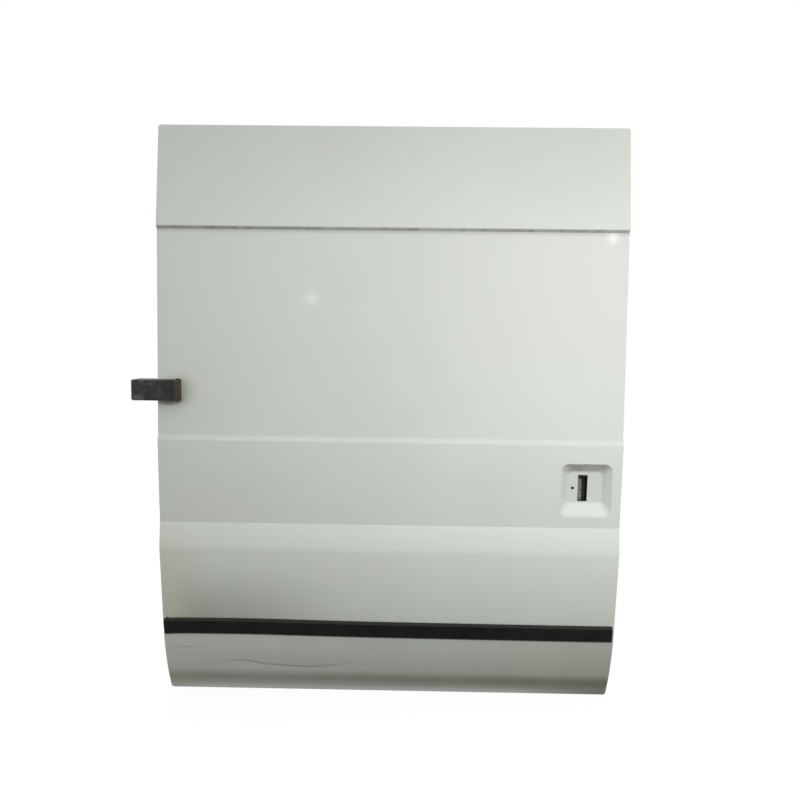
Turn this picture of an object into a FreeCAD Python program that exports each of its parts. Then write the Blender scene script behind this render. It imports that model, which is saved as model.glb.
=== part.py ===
import FreeCAD, Part
import math
import os

# Van sliding side door, right-hand side, without a window: a pressed outer skin hemmed round a pressed
# inner panel, with its latches, its three roller arms and a black rub strip.
#
# Millimetres, +Z up. The outside of the door faces -Y and the front of the vehicle is towards +X.
# The pieces are drawn in the door's own frame: x from the rear edge, y inwards from the outermost line
# of the skin, z up from the bottom edge. They are moved at the end, so that the origin lies on the flat
# underside of the lower arm, the bracket that carries the door.

# Door leaf
door_width = 1300.0
door_height = 1635.0
corner_radius = 8.0
skin_thickness = 1.0
panel_thickness = 0.9
hem_width = 12.0
hem_clearance = 0.3
seat_clearance = 0.3
running_clearance = 0.05

# Section of the skin: depth inwards and height of each line that runs along the door
bottom_depth = 92.0
roll_depth = 36.0
roll_height = 110.0
roll_radius = 600.0
bulge_below_cup = 181.0
bulge_radius = 40.0
crease_depth = 9.5
crease_below_cup = 107.5
crease_radius = 5.0
waist_above_cup = 128.5
waist_radius = 6.0
ledge_depth = 6.0
ledge_rise = 13.0
ledge_radius = 5.0
step_from_top = 286.0
step_depth = 22.0
step_radius = 3.0
lip_depth = 14.0
lip_rise = 7.0
lip_radius = 5.0
top_depth = 49.0

# Handle cup pressed into the waist band
cup_from_front = 98.5
cup_height = 635.5
cup_rim_width = 143.0
cup_rim_height = 152.0
cup_rim_radius = 21.0
cup_floor_width = 97.0
cup_floor_height = 91.0
cup_floor_radius = 15.0
cup_floor_raise = 5.0
cup_depth = 25.0
cup_floor_fillet = 6.0
cup_rim_fillet = 5.0
slot_width = 27.0
slot_height = 76.0
slot_radius = 3.0
slot_offset = -5.0
slot_drop = 3.2
screw_hole_radius = 4.5
screw_hole_offset = -33.0
backing_thickness = 2.0
backing_side_margin = 7.0
backing_end_margin = 1.0

# Inner panel: a tray with openings, beads and a flange for the hem
flange_width = 22.0
tray_corner_radius = 45.0
tray_bend_radius = 10.0
inner_face_depth = 112.0
opening_lip = 8.0
opening_margin = 120.0
upper_opening_low = 985.0
upper_opening_from_top = 165.0
upper_opening_radius = 80.0
lower_opening_low = 190.0
lower_opening_high = 700.0
lower_opening_radius = 60.0
mullion_left = 620.0
mullion_width = 80.0
lower_opening_front_margin = 240.0
bead_width = 26.0
bead_height = 5.0
bead_end_gap = 30.0
swage_margin = 55.0
swage_radius = 40.0
swage_height = 8.0
swage_bend_radius = 6.0
jig_hole_radius = 12.0
jig_hole_gap = 60.0
drain_length = 40.0
drain_width = 8.0
drain_count = 3

# Stiffener bars and sound pads behind the skin
bar_thickness = 1.2
bar_crown_width = 30.0
bar_brim_width = 18.0
bar_crown_height = 24.0
bar_bend_radius = 3.6
bar_skin_gap = 3.0
upper_bar_from_top = 405.0
lower_bar_below_crease = 198.0
pad_thickness = 3.0
pad_corner_radius = 15.0
pad_gap = 65.0
upper_pad_length = 460.0
upper_pad_height = 115.0

# Rub strip
strip_height = 48.0
strip_thickness = 11.0
strip_chamfer = 6.0
strip_centre_height = 218.0
strip_rear_gap = 4.0
strip_front_gap = 7.0

# Middle arm on its swivel at the rear edge
arm_centre_height = 904.5
arm_height = 57.0
arm_wall = 4.0
arm_corner_radius = 4.0
arm_end_corner = 6.0
arm_overhang = 57.0
arm_overlap = 67.0
arm_running_gap = 5.0
arm_depth = 40.0
pivot_inset = 1.0
pivot_radius = 4.5
knuckle_radius = 8.5
arm_eye_radius = 9.0
knuckle_end_gap = 0.5
pivot_head_radius = 6.5
pivot_head_height = 3.0
pivot_foot_radius = 6.0
hinge_plate_thickness = 4.0
hinge_plate_height = 38.0
hinge_plate_length = 52.0
hinge_plate_corner = 6.0
tongue_edge_gap = 8.0
tongue_reach = 30.0
load_roller_radius = 15.0
load_roller_width = 12.0
guide_roller_radius = 8.0
guide_roller_width = 12.0
guide_roller_spacing = 28.0
guide_edge_gap = 1.0
guide_stud_radius = 3.0

# Studs and rollers of all three arms
stud_radius = 4.0
stud_head_height = 2.0
stud_head_margin = 2.5

# Lower and upper arms on the inner panel
arm_plate = 6.0
arm_bend_radius = 10.0
gusset_thickness = 5.0
gusset_leg = 45.0
lower_arm_from_front = 150.0
lower_arm_width = 70.0
lower_arm_underside = 62.0
lower_arm_length = 180.0
lower_arm_flange = 85.0
lower_arm_cheek = 60.0
lower_load_radius = 20.0
lower_load_width = 14.0
lower_axle_drop = 10.0
lower_guide_radius = 12.0
lower_guide_width = 16.0
lower_guide_spacing = 40.0
lower_guide_from_end = 68.0
upper_arm_from_front = 150.0
upper_arm_width = 50.0
upper_arm_from_top = 60.0
upper_arm_length = 110.0
upper_arm_flange = 80.0
upper_gusset_leg = 30.0
upper_roller_radius = 14.0
upper_roller_width = 18.0
upper_roller_from_end = 25.0

# Latches, rod and release lever
latch_below_cup = 6.5
latch_case_height = 130.0
latch_case_width = 54.0
latch_front_depth = 47.0
latch_back_gap = 2.0
latch_plate_thickness = 3.0
latch_plate_margin = 5.0
latch_plate_front_margin = 8.0
latch_plate_back_margin = 12.0
latch_plate_corner = 8.0
latch_mouth = 18.0
latch_mouth_depth = 32.0
mouth_clearance = 2.0
claw_thickness = 8.0
claw_radius = 20.0
claw_clearance = 2.0
claw_wall_gap = 0.4
claw_throat = 4.0
rod_radius = 3.0
rod_above_latch = 36.0
rod_depth = 72.0
rod_guide_size = 16.0
rod_guide_gap = 15.0
lever_thickness = 3.0
lever_leg = 16.0
lever_margin = 2.0
lever_corner = 3.0
lever_drop = 13.0
lever_below_slot = 8.0
lever_lap = 25.0

# Inside handle
bezel_from_front = 135.0
bezel_width = 150.0
bezel_height = 92.0
bezel_thickness = 16.0
bezel_radius = 14.0
bezel_chamfer = 4.0
dish_margin = 12.0
dish_radius = 10.0
dish_floor = 3.0
grip_length = 112.0
grip_height = 26.0
grip_thickness = 14.0
grip_corner = 11.0
grip_gap = 4.0
grip_post_radius = 9.0
grip_post_inset = 15.0

# Dowels, buffers and plugs
dowel_radius = 9.0
dowel_shank = 12.0
dowel_nose = 8.0
dowel_tip_radius = 5.0
dowel_flange_radius = 14.0
dowel_flange_thickness = 4.0
dowel_from_face = 26.0
lower_dowel_height = 280.0
upper_dowel_from_top = 320.0
buffer_radius = 14.0
buffer_tip_radius = 10.0
buffer_height = 18.0
buffer_gap = 60.0
plug_flange = 4.0
plug_cap = 2.5
plug_neck = 2.0

# Worked-out values
skin_offset = skin_thickness + hem_clearance
flange_offset = skin_offset + panel_thickness
hem_offset = flange_offset + hem_clearance + skin_thickness
tray_inner = flange_width + panel_thickness
tray_right = door_width - tray_inner
face_back = inner_face_depth
face_front = inner_face_depth - panel_thickness
bulge_height = cup_height - bulge_below_cup
crease_height = cup_height - crease_below_cup
waist_height = cup_height + waist_above_cup
step_height = door_height - step_from_top
cup_centre_x = door_width - cup_from_front
slot_raise = cup_floor_raise - slot_drop
upper_opening_high = door_height - upper_opening_from_top
mullion_right = mullion_left + mullion_width
mullion_middle = mullion_left + mullion_width / 2
lower_opening_right = door_width - lower_opening_front_margin
upper_bar_height = door_height - upper_bar_from_top
lower_bar_height = crease_height - lower_bar_below_crease
side_middle = (tray_inner + opening_margin) / 2
latch_height = cup_height - latch_below_cup
rod_height = latch_height + rod_above_latch
case_back = face_front - latch_back_gap
case_low = latch_height - latch_case_height / 2
case_high = latch_height + latch_case_height / 2
claw_y = case_back - latch_mouth_depth + claw_throat
lower_arm_x = door_width - lower_arm_from_front
lower_arm_end = face_back + lower_arm_length
lower_arm_top = lower_arm_underside + arm_plate
lower_axle_z = lower_arm_underside + lower_arm_cheek - lower_axle_drop
lower_guide_y = lower_arm_end - lower_guide_from_end
upper_arm_x = door_width - upper_arm_from_front
upper_arm_top = door_height - upper_arm_from_top
upper_roller_y = face_back + upper_arm_length - upper_roller_from_end
bezel_x = door_width - bezel_from_front
grip_y = face_back + bezel_thickness + grip_gap

# Room that cuts run past the solids they cut
overcut = 1.0
far_out = -4 * strip_thickness - 4 * arm_depth
far_in = 4 * inner_face_depth

Vector = FreeCAD.Vector
ALONG = Vector(1, 0, 0)
INWARDS = Vector(0, 1, 0)
UP = Vector(0, 0, 1)

# Lines of the outer skin from the bottom edge to the top edge: depth, height and bend radius
SKIN_LINES = [
    (bottom_depth, 0.0, 0.0),
    (roll_depth, roll_height, roll_radius),
    (0.0, bulge_height, bulge_radius),
    (crease_depth, crease_height, crease_radius),
    (0.0, waist_height, waist_radius),
    (ledge_depth, waist_height + ledge_rise, ledge_radius),
    (step_depth, step_height, step_radius),
    (lip_depth, step_height + lip_rise, lip_radius),
    (top_depth, door_height, 0.0),
]


# Sections in the plane of depth and height


def direction(a, b):
    """Unit direction from point a to point b."""
    length = math.hypot(b[0] - a[0], b[1] - a[1])
    return (b[0] - a[0]) / length, (b[1] - a[1]) / length


def lengthened(lines, overrun):
    """The same lines with both ends moved outwards along their runs."""
    first = direction(lines[1], lines[0])
    last = direction(lines[-2], lines[-1])
    start = (lines[0][0] + first[0] * overrun, lines[0][1] + first[1] * overrun, 0.0)
    end = (lines[-1][0] + last[0] * overrun, lines[-1][1] + last[1] * overrun, 0.0)
    return [start] + lines[1:-1] + [end]


def offset_lines(lines, distance):
    """Lines moved to their right-hand side, with mitred corners and concentric bends."""
    runs = [direction(a, b) for a, b in zip(lines, lines[1:])]
    moved = []
    for i, (depth, height, radius) in enumerate(lines):
        before = runs[max(i - 1, 0)]
        after = runs[min(i, len(runs) - 1)]
        share = 1.0 + before[0] * after[0] + before[1] * after[1]
        depth += distance * (before[1] + after[1]) / share
        height -= distance * (before[0] + after[0]) / share
        turn = before[0] * after[1] - before[1] * after[0]
        bend = radius + distance * math.copysign(1.0, turn)
        moved.append((depth, height, max(bend, 0.0) if radius else 0.0))
    return moved


def path_edges(lines, x):
    """Straight and round edges along the lines, in the plane at x."""
    edges = []
    pen = Vector(x, lines[0][0], lines[0][1])
    for i in range(1, len(lines) - 1):
        depth, height, radius = lines[i]
        before = direction(lines[i - 1], lines[i])
        after = direction(lines[i], lines[i + 1])
        turn = math.acos(max(-1.0, min(1.0, before[0] * after[0] + before[1] * after[1])))
        reach = radius * math.tan(turn / 2)
        corner = Vector(x, depth, height)
        start = corner - Vector(0, before[0], before[1]) * reach
        end = corner + Vector(0, after[0], after[1]) * reach
        edges.append(Part.LineSegment(pen, start).toShape())
        if reach > 0:
            inside = Vector(0, after[0] - before[0], after[1] - before[1]).normalize()
            middle = corner + inside * (radius / math.cos(turn / 2) - radius)
            edges.append(Part.Arc(start, middle, end).toShape())
        pen = end
    edges.append(Part.LineSegment(pen, Vector(x, lines[-1][0], lines[-1][1])).toShape())
    return edges


def section_solid(edges, length):
    """Closed section pushed along the door."""
    wire = Part.Wire(Part.__sortEdges__(edges))
    return Part.Face(wire).extrude(ALONG * length)


def sheet(lines, near_offset, far_offset, x0, x1):
    """Sheet between two offsets of the lines, from x0 to x1."""
    near = offset_lines(lines, near_offset)
    far = offset_lines(lines, far_offset)
    edges = path_edges(near, x0) + path_edges(far, x0)
    for end in (0, -1):
        a = Vector(x0, near[end][0], near[end][1])
        b = Vector(x0, far[end][0], far[end][1])
        edges.append(Part.LineSegment(a, b).toShape())
    return section_solid(edges, x1 - x0)


def behind_skin(offset, depth, x0, x1):
    """Everything from an offset of the skin's lines back to a plane at the given depth."""
    near = offset_lines(LONG_LINES, offset)
    corners = [
        Vector(x0, near[0][0], near[0][1]),
        Vector(x0, depth, near[0][1]),
        Vector(x0, depth, near[-1][1]),
        Vector(x0, near[-1][0], near[-1][1]),
    ]
    edges = path_edges(near, x0)
    for a, b in zip(corners, corners[1:]):
        edges.append(Part.LineSegment(a, b).toShape())
    return section_solid(edges, x1 - x0)


def skin_at(height):
    """Depth of the skin's unrounded lines at a height, with the direction of that run."""
    for a, b in zip(SKIN_LINES, SKIN_LINES[1:]):
        if a[1] <= height <= b[1]:
            share = (height - a[1]) / (b[1] - a[1])
            return a[0] + share * (b[0] - a[0]), direction(a, b)
    raise ValueError("height is off the door")


LONG_LINES = lengthened(SKIN_LINES, 2 * corner_radius)


# Plain solids


def box(x0, x1, y0, y1, z0, z1):
    return Part.makeBox(x1 - x0, y1 - y0, z1 - z0, Vector(x0, y0, z0))


def rod(start, axis, length, radius):
    return Part.makeCylinder(radius, length, start, axis)


def rounded_wire(width, height, radius, centre, across, up):
    """Rounded rectangle about a centre, in the plane of two directions."""
    half_width = width / 2 - radius
    half_height = height / 2 - radius
    diagonal = radius * math.sqrt(0.5)
    arcs = []
    for sx, sz in ((1, -1), (1, 1), (-1, 1), (-1, -1)):
        hub = centre + across * (sx * half_width) + up * (sz * half_height)
        side = hub + across * (sx * radius)
        end = hub + up * (sz * radius)
        middle = hub + across * (sx * diagonal) + up * (sz * diagonal)
        arcs.append((side, middle, end) if sx == sz else (end, middle, side))
    edges = []
    for i, (start, middle, end) in enumerate(arcs):
        edges.append(Part.LineSegment(arcs[i - 1][2], start).toShape())
        edges.append(Part.Arc(start, middle, end).toShape())
    return Part.Wire(edges)


def plate(x0, x1, z0, z1, radius, y0, y1):
    """Rounded plate that lies across the door, from depth y0 to y1."""
    centre = Vector((x0 + x1) / 2, y0, (z0 + z1) / 2)
    wire = rounded_wire(x1 - x0, z1 - z0, radius, centre, ALONG, UP)
    return Part.Face(wire).extrude(INWARDS * (y1 - y0))


def outline(inset, radius, y0, y1):
    """Everything inside the door's outline less an inset, from depth y0 to y1."""
    return plate(inset, door_width - inset, inset, door_height - inset, radius, y0, y1)


def fused(shapes):
    return shapes[0].multiFuse(shapes[1:]).removeSplitter()


def edges_at_depth(shape, depth):
    """Edges that lie in the plane at a depth."""
    return [e for e in shape.Edges if all(abs(v.Point.y - depth) < 1e-6 for v in e.Vertexes)]


def edges_along_x(shape):
    """Straight edges that run along the door."""
    return [e for e in shape.Edges if abs(e.tangentAt(e.FirstParameter).x) > 0.999]


def stud(foot, axis, length):
    """Stud with a head at its end, which keeps a roller on."""
    shank = rod(foot, axis, length + stud_head_height, stud_radius)
    head = rod(foot + axis * length, axis, stud_head_height, stud_radius + stud_head_margin)
    return shank.fuse(head)


def roller(start, axis, width, radius, bore):
    """Roller, bored to run on its stud."""
    return rod(start, axis, width, radius).cut(rod(start, axis, width, bore + running_clearance))


# Handle cup, in the plane of the waist band

WAIST_DEPTH, WAIST_RUN = skin_at(cup_height)
CUP_UP = Vector(0, WAIST_RUN[0], WAIST_RUN[1])
CUP_IN = Vector(0, WAIST_RUN[1], -WAIST_RUN[0])
CUP_CENTRE = Vector(cup_centre_x, WAIST_DEPTH, cup_height)


def cup_point(across, raised, depth):
    return CUP_CENTRE + ALONG * across + CUP_UP * raised + CUP_IN * depth


def cup_edges(shape, depth):
    """Edges round the cup that lie at one depth below the waist band."""
    reach = math.hypot(cup_rim_width, cup_rim_height) / 2
    found = []
    for edge in shape.Edges:
        offsets = [v.Point - CUP_CENTRE for v in edge.Vertexes]
        level = all(abs(o.dot(CUP_IN) - depth) < 1e-4 for o in offsets)
        near = all(o.Length < reach + cup_depth for o in offsets)
        if level and near:
            found.append(edge)
    return found


def cup_plug(rim_growth, floor_growth, depth):
    """Tapered plug in the shape of the cup."""
    rim = rounded_wire(
        cup_rim_width + 2 * rim_growth,
        cup_rim_height + 2 * rim_growth,
        cup_rim_radius + rim_growth,
        cup_point(0, 0, 0),
        ALONG,
        CUP_UP,
    )
    floor = rounded_wire(
        cup_floor_width + 2 * floor_growth,
        cup_floor_height + 2 * floor_growth,
        cup_floor_radius + floor_growth,
        cup_point(0, cup_floor_raise, depth),
        ALONG,
        CUP_UP,
    )
    return Part.makeLoft([rim, floor], True, True)


def handle_holes():
    """Slot for the handle's shank and the hole for its screw."""
    centre = cup_point(slot_offset, slot_raise, cup_depth / 2)
    wire = rounded_wire(slot_width, slot_height, slot_radius, centre, ALONG, CUP_UP)
    slot = Part.Face(wire).extrude(CUP_IN * cup_depth)
    hole = rod(
        cup_point(screw_hole_offset, slot_raise, cup_depth / 2), CUP_IN, cup_depth, screw_hole_radius
    )
    return Part.makeCompound([slot, hole])


# Outer skin


def make_outer_skin():
    """Pressed sheet with the handle cup, folded back round its edges into a hem."""
    folded = sheet(LONG_LINES, 0.0, hem_offset, 0.0, door_width)
    folded = folded.common(outline(0.0, corner_radius, far_out, far_in))
    groove = sheet(LONG_LINES, skin_thickness, hem_offset - skin_thickness, 0.0, door_width)
    groove = groove.common(outline(skin_thickness, corner_radius - skin_thickness, far_out, far_in))
    middle = sheet(LONG_LINES, skin_thickness, hem_offset + overcut, 0.0, door_width)
    middle = middle.common(outline(hem_width, corner_radius, far_out, far_in))
    wall_growth = skin_thickness * (math.sqrt(2) - 1)
    back = cup_plug(skin_thickness + wall_growth, wall_growth, cup_depth + skin_thickness)
    front = cup_plug(0.0, 0.0, cup_depth)
    front = front.makeFillet(cup_floor_fillet, cup_edges(front, cup_depth))
    skin = folded.cut(groove).cut(middle).fuse(back).cut(front)
    skin = skin.makeFillet(cup_rim_fillet, cup_edges(skin, 0.0))
    return skin.cut(handle_holes())


def make_handle_backing_plate():
    """Doubler behind the floor of the cup, with the same holes."""
    wire = rounded_wire(
        cup_floor_width - 2 * backing_side_margin,
        cup_floor_height - 2 * backing_end_margin,
        cup_floor_radius - backing_side_margin,
        cup_point(0, cup_floor_raise, cup_depth + skin_thickness + seat_clearance),
        ALONG,
        CUP_UP,
    )
    return Part.Face(wire).extrude(CUP_IN * backing_thickness).cut(handle_holes())


# Inner panel


def openings():
    """The three openings of the inner panel: x0, x1, z0, z1 and corner radius."""
    lower = (lower_opening_low, lower_opening_high, lower_opening_radius)
    upper = (upper_opening_low, upper_opening_high, upper_opening_radius)
    return [
        (opening_margin, door_width - opening_margin) + upper,
        (opening_margin, mullion_left) + lower,
        (mullion_right, lower_opening_right) + lower,
    ]


def raised_places():
    """Pressed beads and the waist swage: x0, x1, z0, z1, corner radius, height."""
    half = bead_width / 2
    bead = (
        mullion_middle - half,
        mullion_middle + half,
        lower_opening_low + bead_end_gap,
        lower_opening_high - bead_end_gap,
        half - panel_thickness / 2,
        bead_height,
    )
    swage = (
        opening_margin + swage_margin,
        lower_opening_right - swage_margin,
        lower_opening_high + swage_margin,
        upper_opening_low - swage_margin,
        swage_radius,
        swage_height,
    )
    return [bead, swage]


def jig_holes():
    """Centres of the jig holes that rubber plugs close."""
    return [
        (side_middle, lower_opening_high + jig_hole_gap),
        (side_middle, upper_opening_high - jig_hole_gap),
        (door_width - side_middle, upper_opening_low + 2 * jig_hole_gap),
        (mullion_middle, lower_opening_low - jig_hole_gap),
    ]


def latch_mouth_cut(wall, out, reach_in, half_height):
    """Cut for the striker, open towards the inside of the vehicle."""
    x0, x1 = sorted((wall - out * reach_in, wall + out * (latch_plate_thickness + overcut)))
    low = latch_height - half_height
    high = latch_height + half_height
    return box(x0, x1, face_back - latch_mouth_depth, face_back + overcut, low, high)


def drains():
    """Slots in the bottom wall of the tray."""
    pitch = (lower_opening_right - opening_margin) / drain_count
    slots = []
    for i in range(drain_count):
        x = opening_margin + pitch * (i + 0.5)
        y = face_back - tray_bend_radius - drain_width
        slots.append(
            box(x - drain_length / 2, x + drain_length / 2, y - drain_width, y, 0.0, 2 * flange_width)
        )
    return slots


def make_inner_panel():
    """Tray with turned-in lips round its openings and a flange that the skin is hemmed over."""
    inner_corner = tray_corner_radius - panel_thickness
    flange = sheet(LONG_LINES, skin_offset, flange_offset, 0.0, door_width)
    flange = flange.common(outline(skin_offset, corner_radius - skin_offset, far_out, far_in))
    flange = flange.cut(outline(tray_inner, inner_corner, far_out, far_in))
    block = behind_skin(skin_offset, face_back, 0.0, door_width)
    block = block.common(outline(flange_width, tray_corner_radius, far_out, face_back))
    block = block.makeFillet(tray_bend_radius, edges_at_depth(block, face_back))
    hollow = outline(tray_inner, inner_corner, far_out, face_front)
    hollow = hollow.makeFillet(tray_bend_radius - panel_thickness, edges_at_depth(hollow, face_front))
    added = [flange]
    cuts = drains()
    for x0, x1, z0, z1, radius in openings():
        t = panel_thickness
        lip_end = face_back - opening_lip
        added.append(plate(x0 - t, x1 + t, z0 - t, z1 + t, radius + t, lip_end, face_back))
        cuts.append(plate(x0, x1, z0, z1, radius, lip_end - overcut, face_back + overcut))
    for x0, x1, z0, z1, radius, height in raised_places():
        t = panel_thickness
        top = face_back + height
        bend = min(swage_bend_radius, height - t)
        raised = plate(x0, x1, z0, z1, radius, face_front, top)
        added.append(raised.makeChamfer(bend, edges_at_depth(raised, top)))
        inside = plate(x0 + t, x1 - t, z0 + t, z1 - t, radius - t, face_front - overcut, top - t)
        cuts.append(inside.makeChamfer(bend, edges_at_depth(inside, top - t)))
    for x, z in jig_holes():
        cuts.append(rod(Vector(x, face_front - overcut, z), INWARDS, opening_lip, jig_hole_radius))
    for _, wall, out in latch_sides():
        cuts.append(latch_mouth_cut(wall, out, latch_case_width, latch_mouth / 2 + mouth_clearance))
    return block.cut(hollow).multiFuse(added).cut(Part.makeCompound(cuts))


# Stiffener bars and sound pads


def make_stiffener_bar(height):
    """Hat-section bar that runs from wall to wall of the tray, close behind the skin."""
    depth, run = skin_at(height)
    half = bar_crown_width / 2
    front = skin_thickness + bar_skin_gap
    back = front + bar_crown_height
    marks = [
        (-half - bar_brim_width, back, 0.0),
        (-half, back, bar_bend_radius),
        (-half, front, bar_bend_radius),
        (half, front, bar_bend_radius),
        (half, back, bar_bend_radius),
        (half + bar_brim_width, back, 0.0),
    ]
    lines = [
        (depth + run[0] * up + run[1] * deep, height + run[1] * up - run[0] * deep, radius)
        for up, deep, radius in marks
    ]
    return sheet(lines, 0.0, bar_thickness, tray_inner, tray_right)


def make_sound_pads():
    """Bitumen damping pads stuck to the back of the skin."""
    near = skin_thickness + seat_clearance
    layer = sheet(LONG_LINES, near, near + pad_thickness, 0.0, door_width)
    lower_z = (lower_bar_height + pad_gap, crease_height - pad_gap)
    upper_z = (upper_bar_height - pad_gap - upper_pad_height, upper_bar_height - pad_gap)
    middle = door_width / 2
    places = [
        (opening_margin + pad_gap, mullion_left - pad_gap) + lower_z,
        (mullion_right + pad_gap, lower_opening_right - pad_gap) + lower_z,
        (middle - upper_pad_length / 2, middle + upper_pad_length / 2) + upper_z,
    ]
    pads = []
    for x0, x1, z0, z1 in places:
        pads.append(layer.common(plate(x0, x1, z0, z1, pad_corner_radius, far_out, far_in)))
    return Part.makeCompound(pads)


# Rub strip


def make_rub_strip():
    """Solid moulding with bevelled edges that follows the skin at its back."""
    depth, run = skin_at(strip_centre_height)
    centre = Vector(strip_rear_gap, depth, strip_centre_height)
    up = Vector(0, run[0], run[1])
    out = Vector(0, -run[1], run[0])
    half = strip_height / 2
    shoulder = strip_thickness - strip_chamfer
    marks = [
        (-half, -strip_thickness),
        (half, -strip_thickness),
        (half, shoulder),
        (half - strip_chamfer, strip_thickness),
        (strip_chamfer - half, strip_thickness),
        (-half, shoulder),
    ]
    points = [centre + up * a + out * b for a, b in marks]
    block = Part.Face(Part.makePolygon(points + points[:1]))
    block = block.extrude(ALONG * (door_width - strip_rear_gap - strip_front_gap))
    return block.cut(behind_skin(-seat_clearance, far_in, -overcut, door_width + overcut))


# Middle arm: hinge base on the skin, vertical pin, channel arm and its rollers

arm_low = arm_centre_height - arm_height / 2
arm_high = arm_centre_height + arm_height / 2
arm_inner_y = skin_at(arm_low)[0] - arm_running_gap
arm_outer_y = arm_inner_y - arm_depth
pivot_x = arm_overlap - pivot_inset
pivot_y = arm_inner_y - arm_depth / 2
load_stud_x = -(arm_overhang + tongue_edge_gap) / 2
tongue_end = arm_inner_y + tongue_reach
guide_y = tongue_end - guide_roller_radius - guide_edge_gap
guide_low = arm_high - arm_wall - seat_clearance - guide_roller_width
guide_xs = [load_stud_x - guide_roller_spacing / 2, load_stud_x + guide_roller_spacing / 2]


def pivot_bore():
    start = Vector(pivot_x, pivot_y, arm_low - overcut)
    return rod(start, UP, arm_height + 2 * overcut, pivot_radius + running_clearance)


def make_middle_hinge_base():
    """Plate on the skin with a knuckle that the pin goes through."""
    half = hinge_plate_height / 2
    low = arm_centre_height - half
    high = arm_centre_height + half
    front = skin_at(low)[0] - hinge_plate_thickness
    base = plate(pivot_x - hinge_plate_length, pivot_x, low, high, hinge_plate_corner, front, far_in)
    neck = box(pivot_x - knuckle_radius, pivot_x, pivot_y, far_in, low, high)
    knuckle_low = arm_low + arm_wall + knuckle_end_gap
    knuckle_length = arm_height - 2 * arm_wall - 2 * knuckle_end_gap
    knuckle = rod(Vector(pivot_x, pivot_y, knuckle_low), UP, knuckle_length, knuckle_radius)
    body = behind_skin(-seat_clearance, 2 * far_in, -arm_overlap, door_width)
    return fused([base, neck, knuckle]).cut(body).cut(pivot_bore())


def make_middle_hinge_pin():
    """Pin with a head over the arm and a riveted foot under it."""
    low = arm_low - seat_clearance
    high = arm_high + seat_clearance
    shank = rod(Vector(pivot_x, pivot_y, low), UP, high - low, pivot_radius)
    head = rod(Vector(pivot_x, pivot_y, high), UP, pivot_head_height, pivot_head_radius)
    foot = rod(Vector(pivot_x, pivot_y, low - pivot_head_height), UP, pivot_head_height, pivot_foot_radius)
    return fused([shank, head, foot])


def arm_side():
    """Arm seen from above: straight outside, with an eye round the pin at its front end."""
    eye = arm_eye_radius
    turn = Vector(pivot_x, pivot_y, arm_low) + Vector(1, 1, 0) * (eye * math.sqrt(0.5))
    corners = [
        Vector(pivot_x, pivot_y + eye, arm_low),
        Vector(pivot_x - arm_depth / 2, arm_inner_y, arm_low),
        Vector(-arm_overhang, arm_inner_y, arm_low),
        Vector(-arm_overhang, arm_outer_y, arm_low),
        Vector(arm_overlap, arm_outer_y, arm_low),
        Vector(pivot_x + eye, pivot_y, arm_low),
    ]
    edges = [Part.LineSegment(a, b).toShape() for a, b in zip(corners, corners[1:])]
    edges.append(Part.Arc(corners[-1], turn, corners[0]).toShape())
    return Part.Face(Part.Wire(edges))


def make_middle_arm():
    """Pressed channel, open towards the door, with a tongue and studs for the rollers."""
    body = arm_side().extrude(UP * arm_height)
    rims = [e for e in edges_along_x(body) if abs(e.Vertexes[0].Point.y - arm_outer_y) < 1e-6]
    body = body.makeFillet(arm_corner_radius, rims)
    low_corner = box(
        -arm_overhang,
        arm_end_corner - arm_overhang,
        arm_outer_y - overcut,
        arm_inner_y + overcut,
        arm_low,
        arm_low + arm_end_corner,
    )
    round_start = Vector(arm_end_corner - arm_overhang, arm_outer_y - overcut, arm_low + arm_end_corner)
    body = body.cut(low_corner.cut(rod(round_start, INWARDS, arm_depth + 2 * overcut, arm_end_corner)))
    inside = box(
        -arm_overhang + arm_wall,
        pivot_x + arm_eye_radius + overcut,
        arm_outer_y + arm_wall,
        arm_inner_y + overcut,
        arm_low + arm_wall,
        arm_high - arm_wall,
    )
    tongue = box(
        -arm_overhang, -tongue_edge_gap, arm_inner_y - arm_wall, tongue_end, arm_high - arm_wall, arm_high
    )
    web = Vector(load_stud_x, arm_outer_y + arm_wall / 2, arm_centre_height)
    seat = arm_inner_y - web.y
    pieces = [body.cut(inside), tongue]
    pieces.append(rod(web, INWARDS, seat - seat_clearance, stud_radius + stud_head_margin))
    pieces.append(stud(web, INWARDS, seat + load_roller_width + seat_clearance))
    for x in guide_xs:
        foot = guide_low - seat_clearance - stud_head_height
        shank = arm_high - arm_wall / 2 - foot
        head_radius = guide_stud_radius + stud_head_margin
        pieces.append(rod(Vector(x, guide_y, foot), UP, shank, guide_stud_radius))
        pieces.append(rod(Vector(x, guide_y, foot), UP, stud_head_height, head_radius))
    return fused(pieces).cut(pivot_bore())


def make_middle_load_roller():
    start = Vector(load_stud_x, arm_inner_y, arm_centre_height)
    return roller(start, INWARDS, load_roller_width, load_roller_radius, stud_radius)


def make_middle_guide_rollers():
    rollers = []
    for x in guide_xs:
        start = Vector(x, guide_y, guide_low)
        rollers.append(roller(start, UP, guide_roller_width, guide_roller_radius, guide_stud_radius))
    return Part.makeCompound(rollers)


# Lower and upper arms on the inner panel, with their rollers


def gusset(x0, y, z, leg, rise):
    """Three-cornered web in the bend of an arm."""
    corners = [Vector(x0, y, z), Vector(x0, y + leg, z), Vector(x0, y, z + rise)]
    return Part.Face(Part.makePolygon(corners + corners[:1])).extrude(ALONG * gusset_thickness)


def lower_guide_xs():
    return [lower_arm_x - lower_guide_spacing / 2, lower_arm_x + lower_guide_spacing / 2]


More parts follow.
